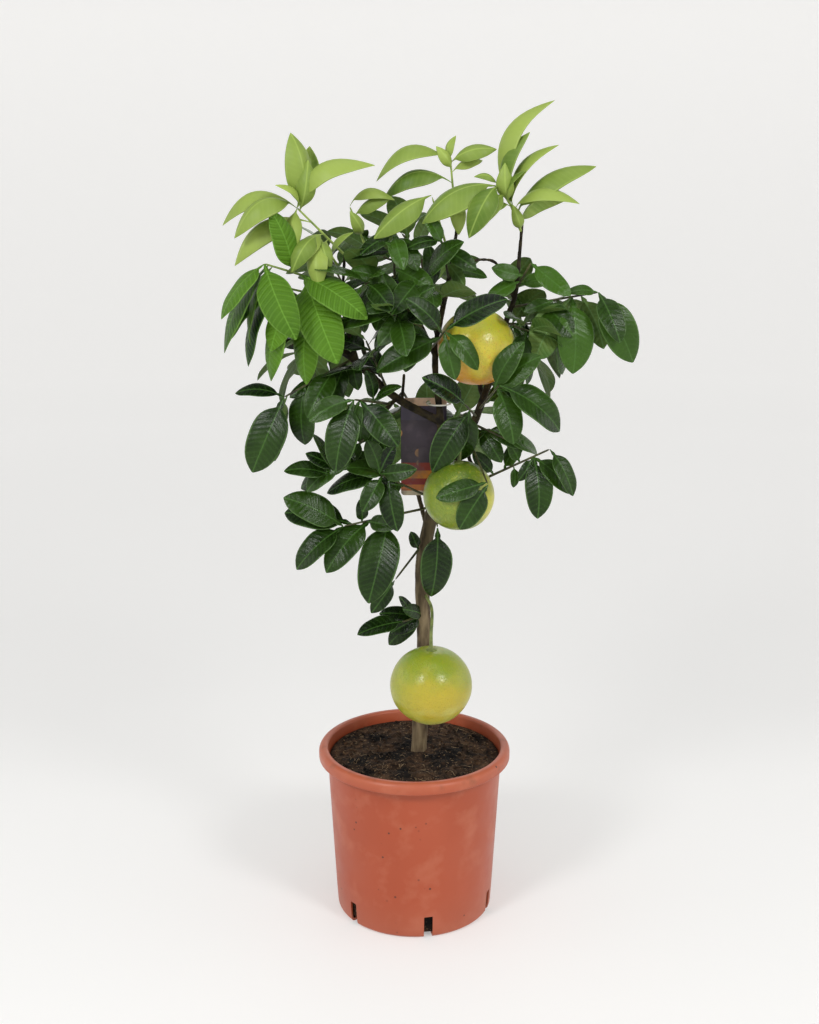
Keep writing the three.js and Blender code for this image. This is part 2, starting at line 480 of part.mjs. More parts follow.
// Leaves that spiral along a twig, spread less towards its tip and droop a little
function spiralLeaves(shoot, root, tip, index) {
  const heading = tip.clone().sub(root).normalize();
  const side = heading.clone().cross(UP).normalize();
  const above = side.clone().cross(heading);
  return Array.from({ length: shoot.count }, (_, i) => {
    const along = SPIRAL_START + ((1 - SPIRAL_START) * i) / (shoot.count - 1);
    const turn = radians(SPIRAL_STEP * (i + index));
    const spread = radians(i === shoot.count - 1 ? SPREAD_AT_TIP : SPREAD);
    const base = root.clone().lerp(tip, along);
    const line = heading.clone().multiplyScalar(Math.cos(spread))
      .addScaledVector(side, Math.cos(turn) * Math.sin(spread))
      .addScaledVector(above, Math.sin(turn) * Math.sin(spread))
      .addScaledVector(UP, -DROOP)
      .normalize();
    const outward = new THREE.Vector3(base.x, base.y, 0).normalize();
    const normal = UP.clone().addScaledVector(outward, FACE_OUTWARD);
    normal.addScaledVector(line, -normal.dot(line)).normalize();
    const length = shoot.length * (1 + LENGTH_SWING * Math.sin(5 * i + 3 * index));
    return { base, line, normal, length, age: "grown" };
  });
}

// A twig with its leaves, joined into one body and kept clear of everything already in place
function addShoot(group, shoot, index) {
  const root = nearestWood(vector(shoot.root));
  const tip = vector(shoot.tip);
  const middle = root.clone().lerp(tip, 0.5);
  const leaves = shoot.leaves ? tableLeaves(shoot, root, tip) : spiralLeaves(shoot, root, tip, index);
  const twig = (grow) => stem([root, middle, tip], TWIG_RADIUS, 0.7 * TWIG_RADIUS, TWIG_SIDES,
    TWIG_STEPS, grow);
  const body = leaves.reduce((joined, leaf) => joined.add(leafSolid(leaf)), twig(0));
  const cut = keepClear(body);
  placed.push(twig(GAP), ...leaves.map((leaf) => leafSolid(leaf, GAP)));
  group.add(mesh(shoot.name, cut, AGES[shoot.age ?? "grown"].colour, 0.45));
}

const tree = new THREE.Group();
tree.name = "potted_pomelo_tree";

const holder = new THREE.Group();
holder.add(mesh("pot", potSolid(), "#c0683f", 0.45));
holder.add(mesh("soil", soilSolid().subtract(woodSolid(GAP)), "#3a2b20", 0.95));
tree.add(holder);

const wood = new THREE.Group();
wood.add(mesh("trunk", woodSolid(), "#6f6250", 0.85));
placed.push(woodSolid(GAP));
FRUITS.forEach((fruit) => placed.push(fruitSolid(fruit, 2 * GAP)));
for (const stalk of STALKS) {
  wood.add(mesh(stalk.name, keepClear(stalkSolid(stalk)), "#5d6b35", 0.7));
}
tree.add(wood);

const fruits = new THREE.Group();
FRUITS.forEach((fruit) => fruits.add(mesh(fruit.name, fruitSolid(fruit), "#b9c23a", 0.4)));
tree.add(fruits);

const tag = new THREE.Group();
tag.add(mesh("plant_label", labelSolid(), "#4a4450", 0.5));
tag.add(mesh("label_tie", tieSolid(), "#e8e6df", 0.5));
tree.add(tag);
STALKS.forEach((stalk) => placed.push(stalkSolid(stalk, GAP)));
placed.push(labelSolid(GAP), tieSolid(GAP));

const crown = new THREE.Group();
[...SHOOTS, ...FILLERS].forEach((shoot, index) => addShoot(crown, shoot, index));
tree.add(crown);

export default tree;
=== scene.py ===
# A young pomelo tree in a plastic nursery pot, with three fruits and a hanging plant label.
import math
import random

import bmesh
import bpy
from mathutils import Matrix, Vector, noise


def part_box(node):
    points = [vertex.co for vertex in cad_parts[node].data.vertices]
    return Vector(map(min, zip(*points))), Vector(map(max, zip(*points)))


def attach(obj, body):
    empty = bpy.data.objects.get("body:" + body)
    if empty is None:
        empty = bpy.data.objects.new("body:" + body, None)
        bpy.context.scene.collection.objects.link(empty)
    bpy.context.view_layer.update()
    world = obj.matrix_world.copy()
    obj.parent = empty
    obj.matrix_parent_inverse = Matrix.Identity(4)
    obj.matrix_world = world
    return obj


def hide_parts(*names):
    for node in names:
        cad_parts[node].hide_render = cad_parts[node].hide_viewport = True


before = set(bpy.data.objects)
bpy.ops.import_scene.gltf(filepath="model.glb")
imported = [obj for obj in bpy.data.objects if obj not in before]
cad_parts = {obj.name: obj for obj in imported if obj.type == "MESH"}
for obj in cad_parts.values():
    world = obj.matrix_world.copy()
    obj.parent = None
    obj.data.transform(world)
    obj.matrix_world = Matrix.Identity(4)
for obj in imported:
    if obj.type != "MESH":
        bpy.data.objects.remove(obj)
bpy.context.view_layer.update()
MM = 0.001

# ---- Viewpoint ----
# The tree is seen from its front, a little above the middle of the crown.
VIEW_PLACE = (-0.0056, -1.5155, 0.8675)
VIEW_TILT = 75.46
VIEW_LENS = 49.72

viewpoint = bpy.data.objects.new("viewpoint", bpy.data.cameras.new("viewpoint"))
viewpoint.data.lens = VIEW_LENS
viewpoint.location = VIEW_PLACE
viewpoint.rotation_euler = (math.radians(VIEW_TILT), 0, 0)
bpy.context.collection.objects.link(viewpoint)
bpy.context.scene.camera = viewpoint
bpy.context.scene.view_settings.view_transform = "Standard"

# ---- Studio ----
# A pale floor that sweeps up all round, so that no edge shows behind the tree.
# Two softboxes stand at the front, with broad weak ones at the sides, back and top.
FLOOR_REACH = 4.0
SWEEP_RADIUS = 1.4
STUDIO_HEIGHT = 3.6
FLOOR_PAINT = (0.62, 0.615, 0.605, 1)
STUDIO_WHITE = (1, 0.995, 0.985, 1)
FLOOR_GLOW = 0.34
PAPER_GLOW = 0.47
GLOW_NEAR = 0.8
GLOW_FAR = 3.0
SKY_LIGHT = 0.2


def shade_node(tree, kind, *feeds, **settings):
    """A shader node: settings are its own choices, feeds are (input, value or output) pairs."""
    made = tree.nodes.new("ShaderNode" + kind)
    for name, value in settings.items():
        setattr(made, name, value)
    for name, value in feeds:
        if isinstance(value, bpy.types.NodeSocket):
            tree.links.new(value, made.inputs[name])
        else:
            made.inputs[name].default_value = value
    return made


def new_finish(name, roughness):
    """A material of this roughness: returns it, its node tree, its shader and its object place."""
    finish = bpy.data.materials.new(name)
    finish.use_nodes = True
    tree = finish.node_tree
    shader = tree.nodes["Principled BSDF"]
    shader.inputs["Roughness"].default_value = roughness
    return finish, tree, shader, shade_node(tree, "TexCoord").outputs["Object"]


def ramp(tree, value, start, end, low=0, high=1, **settings):
    """Runs from low to high while a value runs from start to end."""
    made = shade_node(tree, "MapRange", ("Value", value), ("From Min", start), ("From Max", end),
                      ("To Min", low), ("To Max", high), **settings)
    return made.outputs[0]


def as_piece(name, bm, finishes, smooth=True):
    """Turns a bmesh into an object with these materials."""
    bm.normal_update()
    mesh = bpy.data.meshes.new(name)
    bm.to_mesh(mesh)
    bm.free()
    for finish in finishes:
        mesh.materials.append(finish)
    for face in mesh.polygons:
        face.use_smooth = smooth
    piece = bpy.data.objects.new(name, mesh)
    bpy.context.collection.objects.link(piece)
    return piece


def turn_profile(bm, profile, steps):
    """Spins a line of (radius, height) points once round the upright axis."""
    points = [bm.verts.new((radius, 0, height)) for radius, height in profile]
    edges = [bm.edges.new(pair) for pair in zip(points, points[1:])]
    bmesh.ops.spin(bm, geom=points + edges, cent=(0, 0, 0), axis=(0, 0, 1), angle=2 * math.pi,
                   steps=steps, use_merge=True)
    bmesh.ops.remove_doubles(bm, verts=bm.verts, dist=1e-6)


def arc(centre, radius, first, last, steps):
    """Points of a round corner, from one angle to another, as (radius, height)."""
    angles = [math.radians(first + (last - first) * i / steps) for i in range(steps + 1)]
    return [(centre[0] + radius * math.cos(a), centre[1] + radius * math.sin(a)) for a in angles]


sweep = bmesh.new()
turn_profile(sweep, [(0, 0), (FLOOR_REACH / 2, 0),
                     *arc((FLOOR_REACH, SWEEP_RADIUS), SWEEP_RADIUS, -90, 0, 12),
                     (FLOOR_REACH + SWEEP_RADIUS, STUDIO_HEIGHT)], 64)
floor_finish, floor_tree, floor_shader, paper_place = new_finish("studio_paper", 0.9)
floor_shader.inputs["Base Color"].default_value = FLOOR_PAINT
floor_shader.inputs["Specular IOR Level"].default_value = 0.1
floor_shader.inputs["Emission Color"].default_value = STUDIO_WHITE
paper_reach = shade_node(floor_tree, "VectorMath", (0, paper_place), operation="LENGTH")
paper_glow = ramp(floor_tree, paper_reach.outputs["Value"], GLOW_NEAR, GLOW_FAR, FLOOR_GLOW,
                  PAPER_GLOW)
floor_tree.links.new(paper_glow, floor_shader.inputs["Emission Strength"])
studio_floor = as_piece("studio_floor", sweep, [floor_finish])

sky = bpy.data.worlds.new("studio_sky")
sky.use_nodes = True
sky.node_tree.nodes["Background"].inputs["Color"].default_value = STUDIO_WHITE
sky.node_tree.nodes["Background"].inputs["Strength"].default_value = SKY_LIGHT
bpy.context.scene.world = sky


def softbox(name, place, aim, size, power):
    light = bpy.data.objects.new(name, bpy.data.lights.new(name, "AREA"))
    light.data.shape = "DISK"
    light.data.size = size
    light.data.energy = power
    light.location = place
    light.rotation_euler = (Vector(aim) - Vector(place)).to_track_quat("-Z", "Y").to_euler()
    bpy.context.collection.objects.link(light)


softbox("softbox_left", (-1.0, -1.3, 1.6), (0, 0, 0.45), 0.5, 15)
softbox("softbox_right", (1.05, -1.25, 1.6), (0, 0, 0.45), 0.5, 13.5)
softbox("softbox_side_left", (-2.2, 0.3, 0.9), (0, 0, 0.4), 1.6, 3)
softbox("softbox_side_right", (2.2, 0.3, 0.9), (0, 0, 0.4), 1.6, 3)
softbox("softbox_back", (0.2, 2.3, 1.6), (0, 0, 0.5), 1.6, 3)
softbox("softbox_top", (0, -0.1, 2.6), (0, 0, 0), 1.8, 11)

# ---- Pot ----
# An injection-moulded nursery pot of thin terracotta-coloured plastic: a slightly tapered wall with a
# rolled lip round the top and drain slots through the corner of its foot. It is scuffed and dusty.


def box_corners(node):
    """Lowest and highest corners of a part of the frame."""
    return [Vector(corner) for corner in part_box(node)]


pot_high = box_corners("pot")[1]
LIP_RADIUS = pot_high.x
POT_HEIGHT = pot_high.z
LIP_DEPTH = 13 * MM
LIP_ROUND = 6 * MM
LIP_EDGE = 1.2 * MM
FOOT_RADIUS = 90 * MM
NECK_RADIUS = 100 * MM
FOOT_CORNER = 5 * MM
POT_WALL = 2 * MM
POT_STEPS = 128
DRAINS = 6
DRAIN_FIRST = 10
DRAIN_SIZE = (10 * MM, 28 * MM, 54 * MM)
# Dust lies up to this height on the foot, and between these depths below the top of the lip
FOOT_DUST = 50 * MM
LIP_DUST = (16 * MM, 4 * MM)


def wall_radius(height):
    return FOOT_RADIUS + (NECK_RADIUS - FOOT_RADIUS) * height / (POT_HEIGHT - LIP_DEPTH)


def apply_modifiers(piece):
    """Makes a piece's modifiers part of its mesh."""
    graph = bpy.context.evaluated_depsgraph_get()
    finished = bpy.data.meshes.new_from_object(piece.evaluated_get(graph))
    piece.modifiers.clear()
    piece.data = finished


def cut_out(piece, cutter):
    """Takes the cutter's shape out of a piece."""
    cut = piece.modifiers.new("cut", "BOOLEAN")
    cut.operation = "DIFFERENCE"
    cut.object = cutter
    cut.solver = "EXACT"
    apply_modifiers(piece)
    bpy.data.objects.remove(cutter)


def fit(piece, node):
    """The piece stands for a part of the frame: it hangs from the root, and the part is hidden."""
    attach(piece, "root")
    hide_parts(node)


lip_low = POT_HEIGHT - LIP_DEPTH
neck = wall_radius(POT_HEIGHT)
pot_wall = bmesh.new()
turn_profile(pot_wall, [
    (0, 0), (FOOT_RADIUS - 3 * FOOT_CORNER, 0),
    *arc((FOOT_RADIUS - FOOT_CORNER, FOOT_CORNER), FOOT_CORNER, -90, -4, 6),
    *[(wall_radius(h * POT_HEIGHT), h * POT_HEIGHT) for h in (0.12, 0.35, 0.6, 0.8, 0.92)],
    *arc((neck + 2.4 * MM, POT_HEIGHT - 5 * MM), 2.4 * MM, 180, 90, 4),
    *arc((LIP_RADIUS - 4.4 * MM, POT_HEIGHT - 5 * MM), 2.2 * MM, 90, 0, 4),
    *arc((LIP_RADIUS - LIP_EDGE, lip_low + LIP_EDGE), LIP_EDGE, 180, 360, 6),
    *arc((LIP_RADIUS - LIP_ROUND, POT_HEIGHT - LIP_ROUND), LIP_ROUND, 0, 90, 8),
    *arc((neck + 1.2 * MM, POT_HEIGHT - 2.6 * MM), 2.6 * MM, 90, 180, 5),
    (neck - POT_WALL, POT_HEIGHT - 6 * MM),
    (wall_radius(POT_HEIGHT / 2) - POT_WALL, POT_HEIGHT / 2),
    *arc((FOOT_RADIUS - FOOT_CORNER, FOOT_CORNER + 1 * MM), FOOT_CORNER - POT_WALL, 0, -90, 4),
    (0, POT_WALL)], POT_STEPS)
bmesh.ops.recalc_face_normals(pot_wall, faces=pot_wall.faces)

drain_cutters = bmesh.new()
for i in range(DRAINS):
    turn = Matrix.Rotation(math.radians(DRAIN_FIRST + 360 / DRAINS * i), 4, "Z")
    place = turn @ Matrix.Translation((0, -FOOT_RADIUS, 0)) @ Matrix.Diagonal((*DRAIN_SIZE, 1))
    bmesh.ops.create_cube(drain_cutters, size=1, matrix=place)
bmesh.ops.bevel(drain_cutters, geom=drain_cutters.edges[:], offset=1 * MM, segments=2, profile=0.5,
                affect="EDGES", material=-1)


def scaled(tree, value, share):
    """A value multiplied by a number or by another value."""
    return shade_node(tree, "Math", (0, value), (1, share), operation="MULTIPLY").outputs[0]


def grained(tree, place, scale, detail, roughness=0.5):
    """Noise as it comes."""
    made = shade_node(tree, "TexNoise", ("Vector", place), ("Scale", scale), ("Detail", detail),
                      ("Roughness", roughness))
    return made.outputs[0]


def clouded(tree, place, scale, detail, low, high):
    """Noise stretched to run from 0 to 1."""
    return ramp(tree, grained(tree, place, scale, detail), low, high)


def speckle(tree, place, scale, spread, cover, seed):
    """Scattered spots: 1 inside each spot and 0 between them."""
    moved = shade_node(tree, "Mapping", ("Vector", place), ("Location", (seed, 0, 0))).outputs[0]
    cells = shade_node(tree, "TexVoronoi", ("Vector", moved), ("Scale", scale))
    spots = ramp(tree, cells.outputs["Distance"], cover, cover * 0.5)
    return scaled(tree, spots, clouded(tree, moved, spread, 2, 0.54, 0.6))


def mixed(tree, factor, first, second, blend="MIX"):
    """Two colours mixed by a factor."""
    made = shade_node(tree, "Mix", (0, factor), (6, first), (7, second), data_type="RGBA",
                      blend_type=blend)
    return made.outputs[2]


def embossed(tree, height, strength, depth, *under, **settings):
    """A relief of this height pattern, over another relief where one is given."""
    made = shade_node(tree, "Bump", ("Height", height), ("Strength", strength), ("Distance", depth),
                      *under, **settings)
    return made.outputs[0]


def dress(tree, shader, colour, relief):
    """Gives a shader its colour and its relief."""
    tree.links.new(colour, shader.inputs["Base Color"])
    tree.links.new(relief, shader.inputs["Normal"])


def paint(red, green, blue):
    """A paint-chart colour, 0 to 255, as a shader colour."""
    return tuple((c / 255) ** 2.2 for c in (red, green, blue)) + (1,)


pot_finish, tree, shader, place = new_finish("pot_terracotta_plastic", 0.4)
height = shade_node(tree, "SeparateXYZ", ("Vector", place)).outputs["Z"]
streaks = shade_node(tree, "Mapping", ("Vector", place), ("Scale", (1, 1, 0.6)))
body = mixed(tree, clouded(tree, streaks.outputs[0], 9, 3, 0.35, 0.68),
             paint(162, 70, 38), paint(172, 80, 50))
body = mixed(tree, clouded(tree, place, 34, 5, 0.5, 0.9), body, paint(184, 104, 76))
foot_dust = ramp(tree, height, FOOT_DUST, 0, high=0.35)
body = mixed(tree, foot_dust, body, paint(170, 100, 76))
lip_dust = ramp(tree, height, POT_HEIGHT - LIP_DUST[0], POT_HEIGHT - LIP_DUST[1], high=0.45)
body = mixed(tree, lip_dust, body, paint(186, 106, 78))
body = mixed(tree, speckle(tree, place, 95, 14, 0.16, 0.31), body, paint(70, 42, 30))
soiled = scaled(tree, clouded(tree, place, 60, 6, 0.58, 0.74), lip_dust)
body = mixed(tree, soiled, body, paint(112, 72, 50))
gloss = ramp(tree, clouded(tree, place, 30, 5, 0.3, 0.7), 0, 1, 0.34, 0.5)
tree.links.new(gloss, shader.inputs["Roughness"])
dress(tree, shader, body, embossed(tree, grained(tree, place, 260, 3), 0.12, 0.4 * MM))

pot_shell = as_piece("pot_shell", pot_wall, [pot_finish])
cutters = as_piece("drain_cutters", drain_cutters, [pot_finish])
cut_out(pot_shell, cutters)
pot_shell.data.set_sharp_from_angle(angle=math.radians(50))
fit(pot_shell, "pot")

# ---- Soil ----
# Dark fibrous peat that fills the pot to just below the lip and rises a little at the trunk.
# Crumbs and pale root fibres lie loose on it.
soil_low, soil_high = box_corners("soil")
SOIL_TOP = soil_high.z - 5 * MM
SOIL_RADIUS = soil_high.x
CRUMBS = 420
FIBRES = 150
SOIL_SEED = 7
# Loose pieces lie between these shares of the soil's radius
LITTER_NEAR = 0.16
LITTER_SPAN = 0.78
LITTER_FAR = 0.955


def soil_height(x, y):
    """Height of the soil's lumpy surface."""
    reach = math.hypot(x, y) / SOIL_RADIUS
    mound = 4.2 * MM * max(0, 1 - reach ** 1.5)
    lumps = noise.fractal(Vector((x, y, 0)) * 70, 0.8, 2.2, 4) * 2.6 * MM
    edge = min(1, 7 * (1 - reach))
    return SOIL_TOP + mound + lumps * edge - 1.5 * MM * (1 - edge)


soil_heap = bmesh.new()
turn_profile(soil_heap, [
    (0, soil_low.z + 0.2 * MM), (FOOT_RADIUS - 2 * FOOT_CORNER, soil_low.z + 0.2 * MM),
    (FOOT_RADIUS - FOOT_CORNER, 5 * MM), (wall_radius(SOIL_TOP) - POT_WALL - 1 * MM, SOIL_TOP),
    *[(SOIL_RADIUS * (0.985 - 0.985 * i / 40), soil_high.z) for i in range(41)]], 110)
bmesh.ops.recalc_face_normals(soil_heap, faces=soil_heap.faces)
for vert in soil_heap.verts:
    if vert.co.z > SOIL_TOP - 1 * MM:
        vert.co.z = soil_height(vert.co.x, vert.co.y)

soil_finish, tree, shader, place = new_finish("peat", 0.92)
shader.inputs["Specular IOR Level"].default_value = 0.25
peat = mixed(tree, clouded(tree, place, 160, 6, 0.35, 0.66), paint(34, 24, 18), paint(92, 70, 52))
peat = mixed(tree, clouded(tree, place, 30, 3, 0.42, 0.62), peat, paint(60, 44, 32), "MULTIPLY")
peat = mixed(tree, clouded(tree, place, 420, 4, 0.6, 0.72), peat, paint(140, 116, 88))
grit = grained(tree, place, 420, 6, 0.7)
dress(tree, shader, peat, embossed(tree, grit, 0.8, 1.6 * MM))
soil_surface = as_piece("soil_surface", soil_heap, [soil_finish])
fit(soil_surface, "soil")


def scatter(chance):
    """A place on the soil, clear of the trunk and the wall."""
    reach = SOIL_RADIUS * (LITTER_NEAR + LITTER_SPAN * math.sqrt(chance.random()))
    reach = min(reach, LITTER_FAR * SOIL_RADIUS)
    angle = chance.uniform(0, 2 * math.pi)
    x = reach * math.cos(angle)
    y = reach * math.sin(angle)
    return Vector((x, y, soil_height(x, y)))


chance = random.Random(SOIL_SEED)
noise.seed_set(SOIL_SEED)
soil_crumbs = bmesh.new()
for _ in range(CRUMBS):
    size = chance.uniform(0.8, 2.6) * MM
    spot = scatter(chance) + Vector((0, 0, 0.2 * size))
    turn = Matrix.Rotation(chance.uniform(0, 6.28), 4, (chance.random(), chance.random(), 1))
    scale = Matrix.Diagonal((size * chance.uniform(0.7, 1.4), size, size * 0.75, 1))
    lump = bmesh.ops.create_icosphere(soil_crumbs, subdivisions=1, radius=1,
                                      matrix=Matrix.Translation(spot) @ turn @ scale)
    for vert in lump["verts"]:
        vert.co += noise.noise_vector(vert.co * 900) * 0.35 * size
crumb_piece = as_piece("soil_crumbs", soil_crumbs, [soil_finish], smooth=False)
fit(crumb_piece, "soil")

fibre_finish, tree, shader, place = new_finish("root_fibre", 0.8)
straw = mixed(tree, clouded(tree, place, 60, 3, 0.4, 0.62), paint(70, 52, 38), paint(160, 136, 104))
tree.links.new(straw, shader.inputs["Base Color"])
soil_fibres = bmesh.new()


def tube(bm, line, radii, sides):
    """A round stem through a line of points: one ring of edges is drawn out from point to point."""
    heading = (line[1] - line[0]).normalized()
    turned = Matrix.Translation(line[0]) @ heading.to_track_quat("Z", "Y").to_matrix().to_4x4()
    start = bmesh.ops.create_circle(bm, cap_ends=True, segments=sides, radius=radii[0], matrix=turned)
    ring = list({edge for vert in start["verts"] for edge in vert.link_edges})
    made = list(start["verts"])
    for i in range(1, len(line)):
        drawn = bmesh.ops.extrude_edge_only(bm, edges=ring)["geom"]
        ring = [part for part in drawn if isinstance(part, bmesh.types.BMEdge)
                and len(part.link_faces) == 1]
        verts = [part for part in drawn if isinstance(part, bmesh.types.BMVert)]
        onward = line[min(i + 1, len(line) - 1)] - line[i - 1]
        swing = heading.rotation_difference(onward.normalized()).to_matrix().to_4x4()
        growth = Matrix.Scale(radii[i] / radii[i - 1], 4)
        move = Matrix.Translation(line[i]) @ swing @ growth @ Matrix.Translation(-line[i - 1])
        bmesh.ops.transform(bm, matrix=move, verts=verts)
        heading = onward.normalized()
        made += verts
    bmesh.ops.contextual_create(bm, geom=ring)
    return made


for _ in range(FIBRES):
    start = scatter(chance) + Vector((0, 0, 0.5 * MM))
    angle = chance.uniform(0, 6.28)
    stretch = chance.uniform(3, 9) * MM
    line = [start]
    for i in range(3):
        angle += chance.uniform(-0.7, 0.7)
        spot = line[-1] + Vector((math.cos(angle), math.sin(angle), 0)) * stretch / 3
        if spot.xy.length < 0.94 * SOIL_RADIUS:
            spot.z = soil_height(spot.x, spot.y) + chance.uniform(0.3, 1.2) * MM
        line.append(spot)
    tube(soil_fibres, line, [0.22 * MM, 0.28 * MM, 0.24 * MM, 0.1 * MM], 4)
fibre_piece = as_piece("soil_fibres", soil_fibres, [fibre_finish])
fit(fibre_piece, "soil")

# ---- Trunk and limbs ----
# One grey-brown stem, forked above the middle and pruned, with thin boughs painted darker as shade of
# the crown.
# A bough cut back on the left ends in a paler face of bare wood.
LIMBS = [
    (9.5, 7, [(2, 0, 128), (5, 0, 190), (11, 0, 315), (9, 0, 414), (18, 0, 468), (25, 0, 500)]),
    (6, 3.6, [(25, 0, 497), (39, -4, 524), (60, -10, 567), (73, -8, 600), (92, 25, 645)]),
    (3.6, 1.7, [(92, 25, 643), (100, 22, 685), (107, 4, 712), (110, 0, 745), (113, 0, 790)]),
    (5, 3, [(25, 0, 495), (29, -5, 545), (28, -5, 580), (22, 4, 643), (30, 2, 700)]),
    (3, 1.7, [(30, 2, 698), (38, 0, 740), (45, 0, 788)]),
    (4.5, 4.2, [(28, -5, 577), (-21, -5, 604), (-80, 5, 654), (-104, 5, 661), (-156, 5, 661)]),
    (2.8, 1.6, [(-62, 2, 640), (-76, 0, 700), (-74, -8, 756)]),
    (2.6, 1.6, [(23, 3, 645), (2, -8, 690), (-21, -10, 719), (-46, 0, 749)]),
    (2, 1.4, [(107, 4, 708), (92, 4, 735), (84, 2, 748), (62, 0, 749), (47, 2, 738)]),
    (2.4, 1.7, [(-19, -5, 603), (-36, -22, 588), (-47, -30, 572)]),
    (2.6, 1.8, [(58, -9, 563), (60, -6, 535), (76, -12, 515)]),
    (2.8, 1.7, [(-44, -1, 623), (-58, 50, 650), (-72, 95, 668), (-76, 112, 700)]),
    (2.8, 1.7, [(74, -5, 601), (70, 50, 628), (82, 95, 655), (86, 112, 700)]),
    (2.6, 1.7, [(25, 2, 668), (14, 45, 700), (8, 72, 745)]),
    (2.8, 1.8, [(15, 0, 452), (0, 52, 500), (-14, 88, 560), (-12, 104, 612)]),
]
WOOD_GRAIN = 1.0 * MM
# Painted shade of the crown darkens the bark between these heights, and the cut bough ends between these
# places across
CROWN_SHADE_HEIGHTS = (0.4, 0.52)
CUT_BOUGH = (-0.148, -0.154)


def smooth_line(points, steps):
    """A smooth curve through the points, with this many steps between each two."""
    ends = [2 * points[0] - points[1], *points, 2 * points[-1] - points[-2]]
    line = []
    for a, b, c, d in zip(ends, ends[1:], ends[2:], ends[3:]):
        before, here, after = (math.sqrt((q - p).length) for p, q in ((a, b), (b, c), (c, d)))
        leave = ((b - a) / before - (c - a) / (before + here) + (c - b) / here) * here
        arrive = ((c - b) / here - (d - b) / (here + after) + (d - c) / after) * here
        for i in range(steps):
            t = i / steps
            line.append(b + leave * t + (3 * (c - b) - 2 * leave - arrive) * t ** 2
                        + (2 * (b - c) + leave + arrive) * t ** 3)
    return [*line, points[-1]]


wood = bmesh.new()
wood_points = []
limb_lines = []
for thick, thin, places in LIMBS:
    line = smooth_line([Vector(point) * MM for point in places], 8)
    limb_lines.append(line)
    radii = []
    for i, point in enumerate(line):
        share = i / (len(line) - 1)
        knot = 0.08 * noise.noise(point * 45) + 0.05 * noise.noise(point * 160)
        radii.append((thick + (thin - thick) * share) * MM * (1 + knot))
    tube(wood, line, radii, 16)
for line in limb_lines[1:] + limb_lines[:1]:
    wood_points += line
bmesh.ops.recalc_face_normals(wood, faces=wood.faces)

bark_finish, tree, shader, place = new_finish("bark", 0.8)
parts = shade_node(tree, "SeparateXYZ", ("Vector", place))
shader.inputs["Specular IOR Level"].default_value = 0.3
along_stem = shade_node(tree, "Mapping", ("Vector", place), ("Scale", (1, 1, 0.22)))
bark = mixed(tree, clouded(tree, along_stem.outputs[0], 150, 5, 0.36, 0.66),
             paint(70, 58, 44), paint(132, 116, 90))
# Painted shade: the bark is darker above these heights, where the crown shades it
bark = mixed(tree, ramp(tree, parts.outputs["Z"], *CROWN_SHADE_HEIGHTS), bark,
             mixed(tree, clouded(tree, place, 120, 4, 0.4, 0.65), paint(30, 25, 18), paint(64, 56, 36)))
bark = mixed(tree, ramp(tree, parts.outputs["X"], *CUT_BOUGH), bark, paint(176, 150, 110))
furrows = grained(tree, along_stem.outputs[0], 330, 6, 0.65)
dress(tree, shader, bark, embossed(tree, furrows, 0.6, 1.2 * MM))
tree_wood = as_piece("tree_wood", wood, [bark_finish])
joined = tree_wood.modifiers.new("joined", "REMESH")
joined.mode = "VOXEL"
joined.voxel_size = WOOD_GRAIN
joined.use_smooth_shade = True
apply_modifiers(tree_wood)
bark_relief = bmesh.new()
bark_relief.from_mesh(tree_wood.data)
bmesh.ops.smooth_vert(bark_relief, verts=bark_relief.verts, factor=0.5, use_axis_x=True,
                      use_axis_y=True, use_axis_z=True)
bark_relief.normal_update()
for vert in bark_relief.verts:
    ridge = noise.fractal(Vector((vert.co.x * 260, vert.co.y * 260, vert.co.z * 55)), 0.8, 2.1, 3)
    vert.co += vert.normal * ridge * 0.35 * MM
bark_relief.to_mesh(tree_wood.data)
bark_relief.free()
tree_wood.data.shade_smooth()
if not tree_wood.data.materials:
    tree_wood.data.materials.append(bark_finish)
fit(tree_wood, "trunk")

# ---- Fruits ----
# Three pomelos, slightly flattened globes with oily pitted peel, dimpled at the stalk.
# They ripen from green at the stalk to yellow, and the highest one is already turning orange.
FRUITS = {
    "fruit_low": {"stalk_end": (126, 146, 38), "side": (156, 158, 44), "cheek": (180, 162, 44),
                  "base": (190, 192, 104), "cheek_at": (0.2, -0.85, -0.25)},
    "fruit_middle": {"stalk_end": (72, 96, 26), "side": (118, 136, 38), "cheek": (190, 186, 60),
                     "base": (120, 134, 50), "cheek_at": (0.95, -0.2, -0.1)},
    "fruit_upper": {"stalk_end": (176, 180, 50), "side": (196, 182, 58), "cheek": (206, 126, 44),
                    "base": (206, 132, 48), "cheek_at": (-0.9, -0.15, -0.4)},
}
FRUIT_DIMPLE = 0.07
PIT_SPACING = 1.5 * MM


